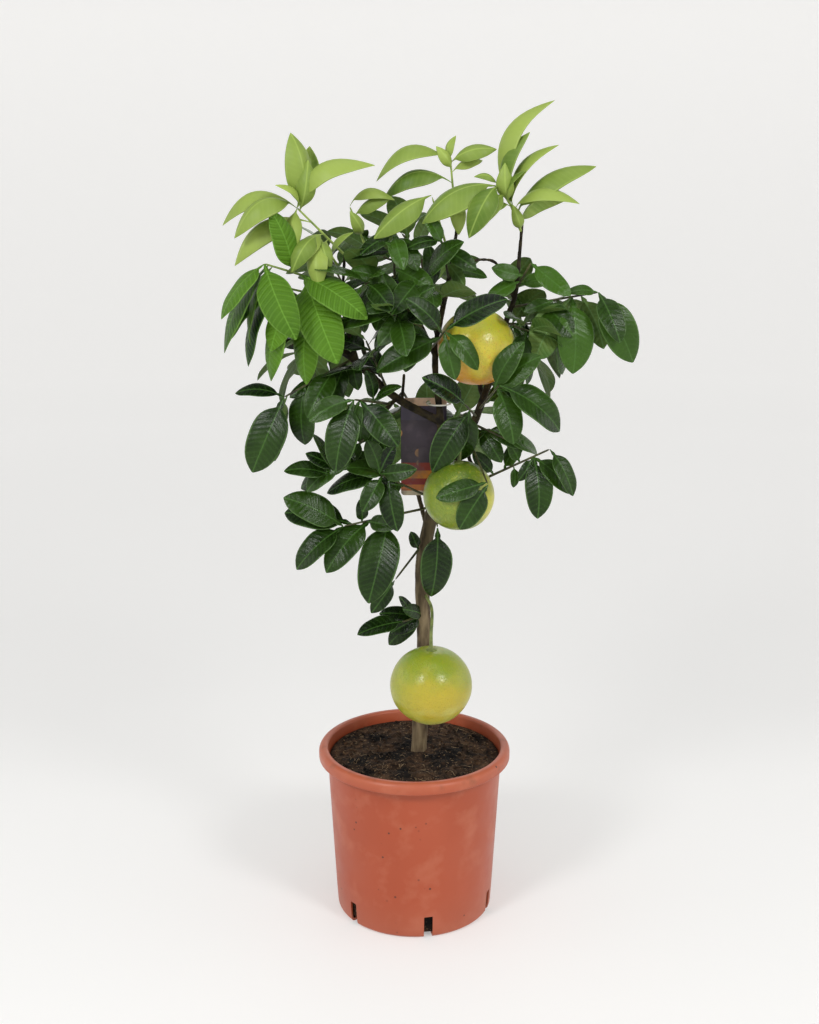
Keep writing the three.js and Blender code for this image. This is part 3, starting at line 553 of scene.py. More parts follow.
def peel(name, centre, half, look):
    """Pitted peel, coloured by its place on the fruit."""
    finish, tree, shader, place = new_finish(name, 0.3)
    from_middle = shade_node(tree, "Mapping", ("Vector", place), ("Location", centre),
                             ("Scale", [half] * 3), vector_type="TEXTURE").outputs[0]
    height = shade_node(tree, "SeparateXYZ", ("Vector", from_middle)).outputs["Z"]
    blotches = clouded(tree, from_middle, 1.6, 4, 0.3, 0.7)
    lean = ramp(tree, blotches, 0, 1, -0.3, 0.3)
    level = shade_node(tree, "Math", (0, height), (1, lean), operation="ADD").outputs[0]
    facing = shade_node(tree, "VectorMath", (0, from_middle),
                        (1, Vector(look["cheek_at"]).normalized()), operation="DOT_PRODUCT")
    cheek = ramp(tree, facing.outputs["Value"], 0.35, 1.0)
    colour = mixed(tree, cheek, paint(*look["side"]), paint(*look["cheek"]))
    colour = mixed(tree, ramp(tree, level, 0.25, 0.95), colour, paint(*look["stalk_end"]))
    colour = mixed(tree, ramp(tree, level, -0.45, -1.0), colour, paint(*look["base"]))
    pits = shade_node(tree, "TexVoronoi", ("Vector", place), ("Scale", 1 / PIT_SPACING))
    hollow = ramp(tree, pits.outputs["Distance"], 0.42, 0.1)
    colour = mixed(tree, scaled(tree, hollow, 0.28), colour, paint(60, 90, 14))
    freckles = clouded(tree, from_middle, 9, 5, 0.55, 0.75)
    colour = mixed(tree, scaled(tree, freckles, 0.35), colour, paint(*look["cheek"]))
    shader.inputs["Subsurface Weight"].default_value = 0.08
    shader.inputs["Subsurface Scale"].default_value = 4 * MM
    shader.inputs["Coat Weight"].default_value = 0.12
    shader.inputs["Coat Roughness"].default_value = 0.3
    dents = embossed(tree, hollow, 0.6, 0.5 * MM, invert=True)
    swells = grained(tree, place, 120, 3)
    dress(tree, shader, colour, embossed(tree, swells, 0.3, 1.5 * MM, ("Normal", dents)))
    return finish


fruit_tops = {}
for name, look in FRUITS.items():
    low, high = box_corners(name)
    centre = (low + high) / 2
    radius = (high.x - low.x) / 2
    half = (high.z - low.z) / 2 / (1 - 0.86 * FRUIT_DIMPLE)
    globe = bmesh.new()
    bmesh.ops.create_uvsphere(globe, u_segments=64, v_segments=40, radius=1)
    for vert in globe.verts:
        reach = vert.co.xy.length
        dimple = 1 - FRUIT_DIMPLE * math.exp(-(4 * reach) ** 2)
        swell = 1 + 0.012 * noise.noise(vert.co * 1.7 + centre * 40)
        vert.co = Vector((vert.co.x * radius, vert.co.y * radius, vert.co.z * half * dimple)) * swell
    bmesh.ops.translate(globe, verts=globe.verts, vec=centre)
    fruit_tops[name] = centre + Vector((0, 0, half * (1 - FRUIT_DIMPLE)))
    piece = as_piece(name.replace("fruit", "pomelo"), globe, [peel(name + "_peel", centre, half, look)])
    fit(piece, name)

# ---- Fruit stalks ----
# Each fruit hangs on a short green-brown stalk that widens into a five-lobed star on the fruit.
STALKS = {
    "stalk_low": ("fruit_low", [(12, -4, 380), (19, -32, 372), (18, -57, 350)]),
    "stalk_middle": ("fruit_middle", [(58, -10, 566), (53, -38, 570), (48, -50, 556)]),
    "stalk_upper": ("fruit_upper", [(33, 0, 716), (50, -16, 722), (64, -25, 712)]),
}
STALK_RADIUS = 1.7 * MM
CALYX_RADIUS = 6 * MM

stalk_finish, tree, shader, place = new_finish("green_stalk", 0.6)
green = mixed(tree, clouded(tree, place, 90, 5, 0.36, 0.64), paint(62, 78, 34), paint(122, 132, 70))
dress(tree, shader, green, embossed(tree, grained(tree, place, 500, 4), 0.4, 0.6 * MM))
for name, (fruit, route) in STALKS.items():
    seat = fruit_tops[fruit]
    line = smooth_line([*(Vector(point) * MM for point in route), seat + Vector((0, 0, 2 * MM))], 6)
    radii = [STALK_RADIUS * (1 + 0.25 * (i / (len(line) - 1)) ** 4) for i in range(len(line))]
    stem = bmesh.new()
    tube(stem, line, radii, 12)
    star = bmesh.ops.create_cone(stem, cap_ends=True, segments=40, radius1=CALYX_RADIUS,
                                 radius2=0.35 * CALYX_RADIUS, depth=2.2 * MM,
                                 matrix=Matrix.Translation(seat + Vector((0, 0, 1.3 * MM))))
    for vert in star["verts"]:
        out = vert.co - seat
        lobes = 1 + 0.16 * math.cos(5 * math.atan2(out.y, out.x))
        vert.co.x, vert.co.y = seat.x + out.x * lobes, seat.y + out.y * lobes
    piece = as_piece(name.replace("stalk", "stem"), stem, [stalk_finish])
    piece.data.set_sharp_from_angle(angle=math.radians(50))
    fit(piece, name)

# ---- Plant label ----
# A thin printed card with round corners, hung by a plastic tie through the hole near its top.
# Its front is plain blocks of colour: a pale band at the top, a dark panel and warm bands below.
label_low, label_high = box_corners("plant_label")
LABEL_SIZE = Vector((50 * MM, 0.9 * MM, 110 * MM))
LABEL_TILT = 2
LABEL_CORNER = 4 * MM
HOLE_RADIUS = 2.6 * MM
HOLE_AT = (5 * MM, 0, 49.5 * MM)
# Lower edge of each printed band, in millimetres from the middle of the card, and its colour
BANDS = [(-55, (214, 196, 168)), (-50, (196, 110, 40)), (-43, (140, 40, 30)), (-36, (205, 128, 44)),
         (-27, (150, 52, 34)), (-18, (66, 56, 66)), (30, (74, 66, 84)), (46, (226, 188, 158))]
BAND_BLUR = 0.6
label_middle = (label_low + label_high) / 2
label_place = Matrix.Translation(label_middle) @ Matrix.Rotation(math.radians(LABEL_TILT), 4, "X")

card = bmesh.new()
bmesh.ops.create_cube(card, size=1, matrix=Matrix.Diagonal((*LABEL_SIZE, 1)))
corners = [edge for edge in card.edges if abs(edge.verts[0].co.y - edge.verts[1].co.y) > 0.5 * MM]
bmesh.ops.bevel(card, geom=corners, offset=LABEL_CORNER, segments=6, profile=0.5, affect="EDGES",
                material=-1)
bmesh.ops.transform(card, matrix=label_place, verts=card.verts)
hole = bmesh.new()
across_card = Matrix.Translation(HOLE_AT) @ Matrix.Rotation(math.radians(90), 4, "X")
bmesh.ops.create_cone(hole, cap_ends=True, segments=24, radius1=HOLE_RADIUS, radius2=HOLE_RADIUS,
                      depth=6 * MM, matrix=label_place @ across_card)

label_finish, tree, shader, place = new_finish("printed_card", 0.4)
on_card = shade_node(tree, "Mapping", ("Vector", place), ("Location", label_middle),
                     vector_type="TEXTURE").outputs[0]
parts = shade_node(tree, "SeparateXYZ", ("Vector", on_card))
print_colour = paint(*BANDS[0][1])
for start, colour in BANDS[1:]:
    above = ramp(tree, parts.outputs["Z"], start * MM, (start + BAND_BLUR) * MM)
    print_colour = mixed(tree, above, print_colour, paint(*colour))
blocks = shade_node(tree, "TexVoronoi", ("Vector", on_card), ("Scale", 55))
warm = ramp(tree, blocks.outputs["Distance"], 0.3, 0.24)
in_panel = ramp(tree, parts.outputs["X"], -5 * MM, -7 * MM)
print_colour = mixed(tree, scaled(tree, warm, in_panel), print_colour, paint(190, 140, 84))
print_colour = mixed(tree, clouded(tree, on_card, 60, 3, 0.5, 0.8), print_colour, paint(96, 84, 92))
dress(tree, shader, print_colour, embossed(tree, grained(tree, on_card, 700, 3), 0.1, 0.2 * MM))
label_card = as_piece("label_card", card, [label_finish], smooth=False)
punch = as_piece("label_punch", hole, [label_finish], smooth=False)
cut_out(label_card, punch)
fit(label_card, "plant_label")

tie_low, tie_high = box_corners("label_tie")
TIE_WIRE = 0.9 * MM
tie_middle = (tie_low + tie_high) / 2
tie_radius = (tie_high.x - tie_low.x) / 2 - TIE_WIRE
tie_ring = bmesh.new()
start = Matrix.Translation((tie_radius, 0, 0)) @ Matrix.Rotation(math.radians(90), 4, "X")
bmesh.ops.create_circle(tie_ring, segments=10, radius=TIE_WIRE, matrix=start)
bmesh.ops.spin(tie_ring, geom=tie_ring.verts[:] + tie_ring.edges[:], cent=(0, 0, 0),
               axis=(0, 0, 1), angle=2 * math.pi, steps=56, use_merge=True)
bmesh.ops.recalc_face_normals(tie_ring, faces=tie_ring.faces)
bmesh.ops.translate(tie_ring, verts=tie_ring.verts, vec=tie_middle)
tie_finish, tree, shader, place = new_finish("tie_plastic", 0.45)
milk = mixed(tree, clouded(tree, place, 80, 3, 0.4, 0.7), paint(226, 224, 214), paint(196, 190, 172))
dress(tree, shader, milk, embossed(tree, clouded(tree, place, 600, 3, 0.3, 0.7), 0.2, 0.2 * MM))
label_ring = as_piece("label_ring", tie_ring, [tie_finish])
fit(label_ring, "label_tie")

# ---- Leafy shoots ----
# Green twigs carry leathery leaves, each on a stalk with a narrow wing, a joint and then the blade.
# The newest shoots at the top are soft and yellow-green, the next ones bright and ribbed, and the
# grown ones dark and glossy. A leaf here is: place along its twig, lean of its line (degrees from +X
# towards +Z), how far the line comes forward (degrees), length, and how far its upper side turns
# to the front (degrees).
SHOOTS = [
    ("shoot_top_left", "fresh", (-74, -10, 755), (-121, -30, 805), [
        (1, 92, 10, 76, 36), (1, 77, -10, 64, -18), (1, 125, 50, 48, 38), (0.95, 78, 20, 55, 60),
        (1, 191, 0, 80, 22), (1, 203, 25, 75, 30), (1, 262, 20, 52, 75), (0.95, 32, 10, 92, 28),
        (0.7, 207, 10, 92, 32), (0.45, 228, 30, 56, 60), (0.35, 259, 25, 56, 70)]),
    ("shoot_top_left_low", "fresh", (-79, -5, 735), (-100, -30, 777), [
        (1, 233, 30, 50, 60), (0.9, 268, 25, 54, 60), (0.9, 290, 30, 36, 50),
        (0.45, 52, 30, 41, 32)]),
    ("shoot_left_young", "young", (-81, -15, 718), (-153, -62, 751), [
        (1, 229, 15, 72, 20), (0.95, 239, -5, 105, 12), (1, 295, 25, 87, 40),
        (0.5, 293, 30, 104, 45), (0.55, 331, 25, 89, 40), (0.65, 105, 20, 70, 50),
        (0.9, 249, -15, 92, 16)]),
    ("shoot_left_hanging", "young", (-80, 0, 708), (-146, -28, 726), [
        (1, 226, 5, 78, 14), (1, 247, -10, 96, 16), (0.85, 258, 5, 100, 18), (0.6, 240, 30, 75, 40),
        (0.4, 262, 15, 96, 24)]),
    ("shoot_left_bough", "grown", (-74, -20, 638), (-138, -40, 610), [
        (1, 174, 0, 52, 25), (0.35, 132, 20, 38, -60), (1, 246, 10, 87, 70),
        (0.95, 256, -10, 77, -15), (0.25, 238, 30, 65, 55), (0.7, 268, 0, 65, 30),
        (0.5, 212, 15, 38, 45), (0.1, 250, 20, 56, 60), (0, 280, 20, 35, 60)]),
    ("shoot_mid_left", "grown", (-21, -25, 609), (-63, -72, 613), [
        (0.85, 312, 20, 64, 65), (1, 255, 15, 77, 60), (1, 203, 15, 52, 55), (0.5, 32, 20, 38, 40),
        (0.5, 253, -10, 50, 60), (0.85, 255, 25, 45, 65), (0.25, 255, 5, 53, 60),
        (0.5, 100, 10, 36, 50)]),
    ("shoot_left_low", "grown", (-46, -30, 573), (-90, -60, 527), [
        (0.7, 217, 10, 48, 55), (0.95, 171, 10, 51, 40), (0.8, 153, 0, 38, 50),
        (0.9, 114, 10, 50, 25), (0.75, 212, -15, 54, 50), (0.45, 222, 30, 37, 60),
        (0.2, 237, 20, 38, 60), (0.4, 290, 20, 35, 60)]),
    ("shoot_low_left", "grown", (9, 0, 482), (-77, -40, 469), [
        (1, 150, 10, 73, 50), (1, 220, 15, 69, 32), (0.7, 226, 25, 76, 60), (0.5, 256, 20, 98, 70),
        (0.9, 172, -10, 77, 40), (0.75, 359, 30, 39, 70), (0.8, 94, 20, 29, 60)]),
    ("shoot_low_mid", "grown", (11, -10, 491), (-37, -58, 531), [
        (0.85, 280, 15, 58, 75), (1, 14, 25, 44, 70), (0.7, 217, 0, 29, 60),
        (0.95, 239, 25, 45, 60), (0.9, 165, 10, 44, 50), (0.75, 147, -10, 54, 40),
        (1, 107, 20, 44, 60), (0.95, 197, 0, 63, 35), (0.55, 172, 30, 40, 60),
        (1, 64, 10, 37, 60)]),
    ("shoot_hanging", "grown", (14, -3, 446), (-22, -15, 400), [
        (1, 233, 15, 45, 85), (0.25, 110, 20, 26, 50)]),
    ("shoot_trunk_low", "grown", (11, -8, 349), (-14, -20, 353), [
        (0.3, 172, 5, 43, 45), (0.9, 191, 15, 55, 35), (0, 144, 45, 39, 60), (0, 205, 15, 42, 60),
        (0.1, 222, 5, 50, 60), (0.45, 118, 20, 36, 45)]),
    ("shoot_trunk_front", "grown", (22, -6, 484), (25, -28, 464), [
        (1, 265, 5, 78, 85)]),
    ("shoot_right_far", "grown", (104, 12, 695), (194, -10, 717), [
        (1, 294, 25, 60, 60), (1, 298, 5, 84, 80), (1, 178, 15, 36, 40), (0.8, 296, -5, 64, -50),
        (0.7, 236, 25, 82, -60), (0.7, 271, 15, 82, 85), (0.5, 280, -10, 86, 30),
        (0.5, 200, 10, 36, 60), (0.5, 322, -20, 66, -60), (0.3, 318, 30, 58, 70),
        (0.2, 334, 30, 54, 60)]),
    ("shoot_right_stem", "grown", (108, 2, 720), (122, -14, 748), [
        (1, 322, 25, 56, 70), (0.3, 208, 10, 42, 50), (0.5, 165, 10, 36, 75),
        (0.1, 9, -20, 46, 50)]),
    ("shoot_right_front", "grown", (70, -25, 594), (86, -84, 630), [
        (0.75, 62, 12, 62, 55), (0.75, 40, 12, 62, 60), (0.9, 287, 20, 61, 70), (1, 324, 0, 80, 30),
        (0.85, 339, -25, 53, 40), (0.2, 35, -20, 51, 50)]),
    ("shoot_right_mid", "grown", (66, -10, 575), (102, -42, 563), [
        (0.3, 337, 20, 46, 55), (0.2, 303, 30, 46, 80), (0.4, 205, 20, 36, 30),
        (0.7, 333, -20, 52, 40)]),
    ("shoot_right_low", "grown", (71, -20, 513), (144, -40, 554), [
        (1, 298, 15, 56, 40), (0.75, 318, 10, 58, 40), (0.75, 274, 20, 67, 75),
        (0.75, 238, 10, 31, 45), (0.15, 132, 10, 36, 60), (0.45, 271, 10, 24, 50),
        (0.3, 60, 10, 40, 60), (0.55, 118, 15, 30, 50)]),
    ("shoot_fruit_cover", "grown", (58, -9, 562), (76, -86, 526), [
        (0.95, 196, 5, 56, 50), (1, 238, 5, 56, 85)]),
    ("shoot_centre_front", "grown", (33, -30, 656), (31, -84, 686), [
        (0.65, 207, 10, 76, 50), (1, 28, 0, 70, 48), (0.95, 312, 5, 52, 40), (0.8, 134, 15, 55, 50),
        (0.3, 161, 10, 54, 45), (0.9, 284, 10, 50, 60)]),
    ("shoot_centre_low", "grown", (64, -12, 585), (52, -60, 606), [
        (1, 144, 20, 58, 50), (0.5, 236, 20, 78, 80), (0.6, 262, -10, 60, 85)]),
    ("shoot_top_right", "fresh", (113, 0, 779), (95, -12, 818), [
        (1, 65, 0, 106, 14), (0.9, 76, 20, 74, 22), (0.5, 61, 20, 87, 16), (0.4, 35, 10, 98, 20),
        (0.55, 10, 25, 73, 30), (0.15, 30, -10, 59, -40), (0.1, 110, 30, 31, 60),
        (0.55, 80, 40, 58, 30), (0.85, 99, 30, 44, 60)]),
    ("shoot_top_right_low", "fresh", (109, -5, 790), (85, -25, 827), [
        (1, 204, 10, 88, 34), (1, 239, 25, 65, 32), (0.4, 196, 15, 49, 34), (0.75, 230, 30, 48, 60),
        (1, 158, 10, 27, 38)]),
    ("shoot_top_grey", "fresh", (45, 0, 784), (37, -5, 850), [
        (0.9, 124, 20, 30, 60), (1, 80, 0, 28, 30), (1, 17, 10, 50, 60), (0.85, 22, -20, 38, 40),
        (0.7, 191, 0, 74, 32), (1, 192, 5, 80, 24), (0.5, 278, 20, 42, 70)]),
    ("shoot_top_mid", "fresh", (38, -4, 745), (17, -26, 818), [
        (1, 215, 15, 76, 45)]),
    ("shoot_top_mid_dark", "grown", (36, -2, 730), (28, -34, 772), [
        (1, 190, 20, 40, 40), (0.8, 330, 20, 42, 60), (0.5, 309, 35, 40, -60),
        (0.3, 349, 10, 44, 50), (0.9, 120, 10, 36, 40)]),
    ("shoot_top_mid_left", "fresh", (-45, 0, 748), (-68, -10, 806), [
        (1, 9, 5, 48, 38), (0.8, 30, 10, 46, 40), (0.5, 110, 50, 40, 70)]),
    ("shoot_upper_left", "grown", (-21, -10, 719), (-22, -32, 778), [
        (1, 209, 20, 42, 40), (1, 306, 20, 46, 40), (1, 288, 45, 48, 80), (0.15, 162, 25, 52, 60),
        (0.1, 246, 30, 56, 70), (0.4, 335, 35, 54, 70), (0.7, 186, 10, 46, 30)]),
    ("shoot_mid_upper", "grown", (10, -4, 684), (-14, -46, 710), [
        (0.9, 34, 30, 44, 60), (0.4, 217, 10, 48, 40), (0.7, 228, 30, 52, 70),
        (1, 190, 20, 46, 50)]),
]
# Shoots inside the crown and round its back, with leaves that spiral along them: root, tip and
# length of leaf
FILLERS = [
    ("shoot_inner_front", (10, -4, 684), (-26, -56, 700), 54),
    ("shoot_inner_left", (-30, -5, 612), (-52, -20, 668), 62),
    ("shoot_inner_upper", (30, 0, 700), (4, -34, 738), 56),
    ("shoot_inner_bough", (-80, 5, 654), (-112, 10, 690), 60),
    ("shoot_inner_top", (-35, -5, 735), (-52, -42, 728), 52),
    ("shoot_inner_right", (98, 22, 680), (120, -26, 678), 56),
    ("shoot_inner_low", (-10, 90, 575), (-62, 30, 560), 60),
    ("shoot_left_back", (-100, 5, 660), (-128, 62, 640), 62),
    ("shoot_back_left", (-72, 95, 668), (-112, 118, 632), 64),
    ("shoot_back_left_top", (-76, 112, 698), (-100, 122, 752), 64),
    ("shoot_back_low", (-13, 98, 590), (-44, 140, 548), 64),
    ("shoot_back_mid", (-13, 98, 590), (12, 144, 540), 64),
    ("shoot_back_low_right", (-5, 70, 530), (62, 112, 566), 62),
    ("shoot_back_right", (82, 95, 655), (84, 140, 640), 62),
    ("shoot_back_right_top", (86, 112, 698), (112, 108, 704), 58),
    ("shoot_back_right_far", (84, 100, 670), (142, 84, 672), 60),
    ("shoot_back_top", (8, 72, 743), (-14, 92, 772), 56),
    ("shoot_back_upper", (12, 52, 708), (26, 96, 726), 54),
    ("shoot_back_inner", (10, 66, 730), (-46, 62, 752), 58),
    ("shoot_right_back", (96, 24, 664), (136, 56, 640), 58),
]
FILLER_LEAVES = 8
SPIRAL_STEP = 137.5
SPIRAL_START = 0.25
SPREAD = 58
SPREAD_AT_TIP = 24
DROOP = 0.3
FACE_OUTWARD = 0.8
LEAN_OUTWARD = 0.35
LENGTH_SWING = 0.16
TWIG_RADIUS = 1.6 * MM
LEAF_THICKNESS = 0.45 * MM
LEAF_COLUMNS = 4
# Painted shade: leaves are darker the lower they are and the nearer to the middle of the crown, where
# the crown shades them
CROWN_MIDDLE = Vector((0, 20, 630)) * MM
CROWN_REACH = 170 * MM
CROWN_FOOT = 300 * MM
CROWN_TOP = 760 * MM
UP = Vector((0, 0, 1))
FRONT = Vector((0, -1, 0))

# A leaf's outline as pairs of place along it and half width, both against the whole leaf
OUTLINES = {
    "fresh": [(0, 0.05), (0.04, 0.06), (0.08, 0.1), (0.11, 0.12), (0.13, 0.12), (0.18, 0.36),
              (0.28, 0.74), (0.4, 0.96), (0.53, 1), (0.66, 0.92), (0.79, 0.72), (0.91, 0.38), (1, 0.01)],
    "young": [(0, 0.05), (0.03, 0.07), (0.06, 0.13), (0.09, 0.16), (0.115, 0.1), (0.16, 0.42),
              (0.26, 0.82), (0.39, 1), (0.53, 1), (0.66, 0.93), (0.79, 0.77), (0.91, 0.46), (1, 0.02)],
    "grown": [(0, 0.05), (0.04, 0.07), (0.08, 0.17), (0.12, 0.22), (0.145, 0.1), (0.19, 0.48),
              (0.28, 0.84), (0.41, 1), (0.55, 1), (0.68, 0.94), (0.8, 0.8), (0.92, 0.5), (1, 0.03)],
}
# Width over length, rise of the midrib, fold at the midrib, roll of the edges, droop of the tip
# and height of the waves along the edges, by the age of the shoot
AGES = {
    "fresh": {"width": 0.42, "arch": 0.3, "fold": -0.35, "roll": 0.35, "hook": 0.04, "wave": 0.006},
    "young": {"width": 0.44, "arch": 0.1, "fold": 0.2, "roll": 0.36, "hook": 0.05, "wave": 0.014},
    "grown": {"width": 0.47, "arch": 0.08, "fold": 0.42, "roll": 0.3, "hook": 0.03, "wave": 0.014},
}


def nearest_wood(place):
    return min(wood_points, key=lambda point: (point - place).length_squared)


def turned_to_front(line, base, face):
    """Upper side of a leaf, turned by this angle from straight up towards the front."""
    up = UP - LEAN_OUTWARD * line.z * Vector((base.x, base.y, 0)).normalized()
    wanted = up * math.cos(math.radians(face)) + FRONT * math.sin(math.radians(face))
    return (wanted - wanted.dot(line) * line).normalized()


def placed_leaves(root, tip, rows):
    """Leaves of a shoot listed one by one: base, line, upper side and length of each."""
    leaves = []
    for along, lean, toward, length, face in rows:
        base = root.lerp(tip, along)
        lean, toward = math.radians(lean), math.radians(toward)
        line = Vector((math.cos(lean) * math.cos(toward), -math.sin(toward),
                       math.sin(lean) * math.cos(toward)))
        leaves.append((base, line, turned_to_front(line, base, face), length * MM))
    return leaves


def spiral_leaves(root, tip, length, index):
    """Leaves that spiral along a twig, spread less towards its tip and droop a little."""
    heading = (tip - root).normalized()
    side = heading.cross(UP).normalized()
    above = side.cross(heading)
    leaves = []
    for i in range(FILLER_LEAVES):
        base = root.lerp(tip, SPIRAL_START + (1 - SPIRAL_START) * i / (FILLER_LEAVES - 1))
        turn = math.radians(SPIRAL_STEP * (i + index))
        spread = math.radians(SPREAD_AT_TIP if i == FILLER_LEAVES - 1 else SPREAD)
        line = (heading * math.cos(spread) + side * math.cos(turn) * math.sin(spread)
                + above * math.sin(turn) * math.sin(spread) - DROOP * UP).normalized()
        normal = UP + FACE_OUTWARD * Vector((base.x, base.y, 0)).normalized()
        normal = (normal - normal.dot(line) * line).normalized()
        swing = 1 + LENGTH_SWING * math.sin(5 * i + 3 * index)
        leaves.append((base, line, normal, length * MM * swing))
    return leaves


def add_leaf(bm, layers, leaf, age, chance):
    """One leaf: a flat grid bent along its midrib, shaped to its outline and given its thickness."""
    base, line, normal, length = leaf
    look, outline = AGES[age], OUTLINES[age]
    across = line.cross(normal)
    arch = look["arch"] * chance.uniform(0.7, 1.35)
    bow = chance.uniform(-0.045, 0.045)
    twist = math.radians(chance.uniform(-16, 16))
    breadth = chance.uniform(0.9, 1.08)
    fold = look["fold"] * chance.uniform(0.4, 1.3)
    phase = chance.uniform(0, 6.28)
    waves = chance.uniform(9, 14)
    # Random tone of each leaf, with painted shade: darker deep inside the crown and low in it
    tone_and_shade = chance.random() * min(1, (base - CROWN_MIDDLE).length / CROWN_REACH)
    tone_and_shade *= min(1, (base.z - CROWN_FOOT) / (CROWN_TOP - CROWN_FOOT))
    rows = len(outline) - 1
    grid = bmesh.ops.create_grid(bm, x_segments=LEAF_COLUMNS, y_segments=rows, size=0.5)["verts"]
    blade = {face for vert in grid for face in vert.link_faces}
    for vert in grid:
        side = 2 * vert.co.x
        along, width = outline[round((vert.co.y + 0.5) * rows)]
        half = 0.5 * look["width"] * length * width * breadth
        reach = abs(side)
        wave = look["wave"] * length * reach ** 2 * math.sin(waves * along + phase + 2 * (side > 0))
        lift = half * (fold * reach - look["roll"] * reach ** 3) + wave * min(1, 2 * width)
        turn = twist * along
        spine = base + line * length * along
        spine += normal * length * (arch * 4 * along * (1 - along) - look["hook"] * along ** 4)
        spine += across * length * bow * 4 * along * (1 - along)
        vert.co = (spine + across * (side * half * math.cos(turn) - lift * math.sin(turn))
                   + normal * (lift * math.cos(turn) + side * half * math.sin(turn)))
        vert[layers[0]] = Vector((side * half, along * length, side))
        vert[layers[1]] = Vector((tone_and_shade, along, 0))
    for face in blade:
        face.normal_update()
    back = bmesh.ops.solidify(bm, geom=list(blade), thickness=LEAF_THICKNESS)["geom"]
    for part in back:
        if isinstance(part, bmesh.types.BMFace):
            part.material_index = 1


def veined(tree):
    """Leaf pattern: nearness to midrib, side vein and edge, each 0 to 1, and height of the ribs."""
    at_leaf = shade_node(tree, "Attribute", attribute_name="leaf_at").outputs["Vector"]
    at = shade_node(tree, "SeparateXYZ", ("Vector", at_leaf))
    aside = shade_node(tree, "Math", (0, at.outputs["X"]), operation="ABSOLUTE").outputs[0]
    midrib = ramp(tree, aside, 1.1 * MM, 0.35 * MM, interpolation_type="SMOOTHSTEP")
    slant = shade_node(tree, "Math", (0, aside), (1, -0.55), (2, at.outputs["Y"]),
                       operation="MULTIPLY_ADD").outputs[0]
    wobble = grained(tree, at_leaf, 90, 2)
    bent = shade_node(tree, "Math", (0, wobble), (1, 3.0 * MM), (2, slant),
                      operation="MULTIPLY_ADD").outputs[0]
    cycle = scaled(tree, bent, 2 * math.pi / VEIN_SPACING)
    wave = shade_node(tree, "Math", (0, cycle), operation="SINE").outputs[0]
    vein = ramp(tree, wave, 0.35, 1, interpolation_type="SMOOTHSTEP")
    edge_reach = shade_node(tree, "Math", (0, at.outputs["Z"]), operation="ABSOLUTE").outputs[0]
    ribs = shade_node(tree, "Math", (0, midrib), (1, wave), operation="ADD").outputs[0]
    return midrib, vein, ramp(tree, edge_reach, 0.955, 1.0), ribs


def lit_through(tree, shader, colour, share):
    """Lets a share of the light shine through the leaf in its own colour."""
    glow = shade_node(tree, "BsdfTranslucent", ("Color", colour))
    out = shade_node(tree, "MixShader", (0, share), (1, shader.outputs[0]), (2, glow.outputs[0]))
    tree.links.new(out.outputs[0], tree.nodes["Material Output"].inputs["Surface"])


VEIN_SPACING = 6.2 * MM
# Colours of the upper side (two tones, mixed by each leaf's random tone and painted shade), its veins,
# its edge and the underside, then the finish
BLADES = {
    "fresh": {"deep": (86, 116, 42), "light": (164, 184, 90), "vein": (166, 190, 96),
              "edge": (170, 194, 104), "under": (132, 162, 72), "rough": 0.42, "ribs": 0.12,
              "veins": 0.06, "through": 0.14},
    "young": {"deep": (14, 60, 2), "light": (108, 156, 40), "vein": (130, 182, 70),
              "edge": (140, 184, 84), "under": (130, 166, 70), "rough": 0.4, "ribs": 0.8,
              "veins": 0.18, "through": 0.16},
    "grown": {"deep": (4, 22, 4), "light": (66, 100, 32), "vein": (76, 112, 52),
              "edge": (104, 138, 76), "under": (100, 124, 54), "rough": 0.22, "ribs": 0.2,
              "veins": 0.1, "through": 0.03},
}


def blade_finish(age):
    """Upper side of a leaf: waxy, veined, with a paler midrib and edge."""
    look = BLADES[age]
    finish, tree, shader, place = new_finish("leaf_" + age + "_blade", look["rough"])
    shader.inputs["Specular IOR Level"].default_value = 0.26
    midrib, vein, edge, ribs = veined(tree)
    # Each leaf's random tone, with painted shade from inside the crown, picks its colour between the two
    # tones
    tone_and_shade = shade_node(tree, "SeparateXYZ", ("Vector", shade_node(
        tree, "Attribute", attribute_name="leaf_tone_and_shade").outputs["Vector"])).outputs["X"]
    colour = mixed(tree, tone_and_shade, paint(*look["deep"]), paint(*look["light"]))
    for pattern, share, over in [(clouded(tree, place, 30, 3, 0.4, 0.8), 0.35, "light"),
                                 (vein, look["veins"], "vein"), (midrib, 0.5, "vein"),
                                 (edge, 0.4, "edge")]:
        colour = mixed(tree, scaled(tree, pattern, share), colour, paint(*look[over]))
    gloss = ramp(tree, clouded(tree, place, 120, 3, 0.3, 0.7), 0, 1, look["rough"] - 0.06,
                 look["rough"] + 0.1)
    tree.links.new(gloss, shader.inputs["Roughness"])
    rib_relief = embossed(tree, ribs, look["ribs"], 0.5 * MM, invert=True)
    pores = grained(tree, place, 800, 2)
    dress(tree, shader, colour, embossed(tree, pores, 0.08, 0.3 * MM, ("Normal", rib_relief)))
    lit_through(tree, shader, colour, look["through"])
    return finish


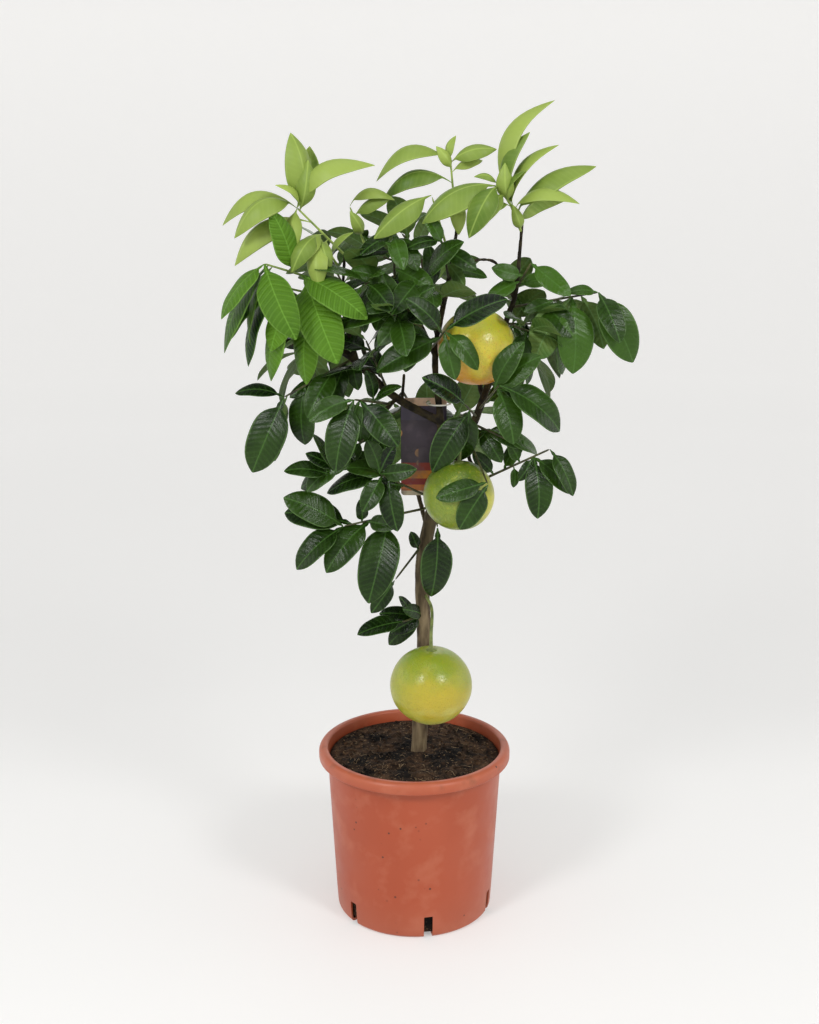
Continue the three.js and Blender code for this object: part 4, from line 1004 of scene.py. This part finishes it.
def underside_finish(age):
    """Underside of a leaf: paler and matt, with raised veins."""
    look = BLADES[age]
    finish, tree, shader, place = new_finish("leaf_" + age + "_underside", 0.6)
    midrib, vein, _, ribs = veined(tree)
    colour = mixed(tree, clouded(tree, place, 50, 4, 0.35, 0.7), paint(*look["under"]),
                   paint(*look["light"]))
    colour = mixed(tree, scaled(tree, vein, 0.3), colour, paint(*look["edge"]))
    colour = mixed(tree, midrib, colour, paint(*look["edge"]))
    dress(tree, shader, colour, embossed(tree, ribs, 0.4, 0.5 * MM))
    lit_through(tree, shader, colour, look["through"])
    return finish


def twig_finish(name, deep, light):
    """Green or brown skin of a twig."""
    finish, tree, shader, place = new_finish(name, 0.55)
    colour = mixed(tree, clouded(tree, place, 110, 4, 0.36, 0.66), paint(*deep), paint(*light))
    dress(tree, shader, colour, embossed(tree, grained(tree, place, 520, 3), 0.3, 0.5 * MM))
    return finish


finishes = {age: [blade_finish(age), underside_finish(age)] for age in AGES}
finishes["fresh"].append(twig_finish("fresh_twig", (110, 132, 58), (160, 180, 90)))
finishes["young"].append(twig_finish("young_twig", (84, 104, 44), (130, 150, 74)))
finishes["grown"].append(twig_finish("grown_twig", (44, 42, 26), (86, 88, 50)))


def add_shoot(index, name, age, root, tip, leaves):
    """One twig with its leaves, as one piece."""
    chance = random.Random(100 + index)
    bm = bmesh.new()
    layers = [bm.verts.layers.float_vector.new(layer) for layer in ("leaf_at", "leaf_tone_and_shade")]
    for leaf in leaves:
        add_leaf(bm, layers, leaf, age, chance)
    joints = len(leaves) + 2
    line = [root.lerp(tip, i / joints) for i in range(joints + 1)]
    radii = [TWIG_RADIUS * (1 - 0.35 * i / joints) * (1.12 if i % 2 else 0.95)
             for i in range(joints + 1)]
    before = set(bm.faces)
    tube(bm, line, radii, 8)
    for face in bm.faces:
        if face not in before:
            face.material_index = 2
    bmesh.ops.recalc_face_normals(bm, faces=[face for face in bm.faces if face not in before])
    piece = as_piece(name.replace("shoot", "leafy"), bm, finishes[age])
    smoother = piece.modifiers.new("smooth", "SUBSURF")
    smoother.levels = 1
    smoother.render_levels = 1
    fit(piece, name)


for index, (name, age, root, tip, rows) in enumerate(SHOOTS):
    root, tip = nearest_wood(Vector(root) * MM), Vector(tip) * MM
    add_shoot(index, name, age, root, tip, placed_leaves(root, tip, rows))
for index, (name, root, tip, length) in enumerate(FILLERS, len(SHOOTS)):
    root, tip = nearest_wood(Vector(root) * MM), Vector(tip) * MM
    add_shoot(index, name, "grown", root, tip, spiral_leaves(root, tip, length, index))
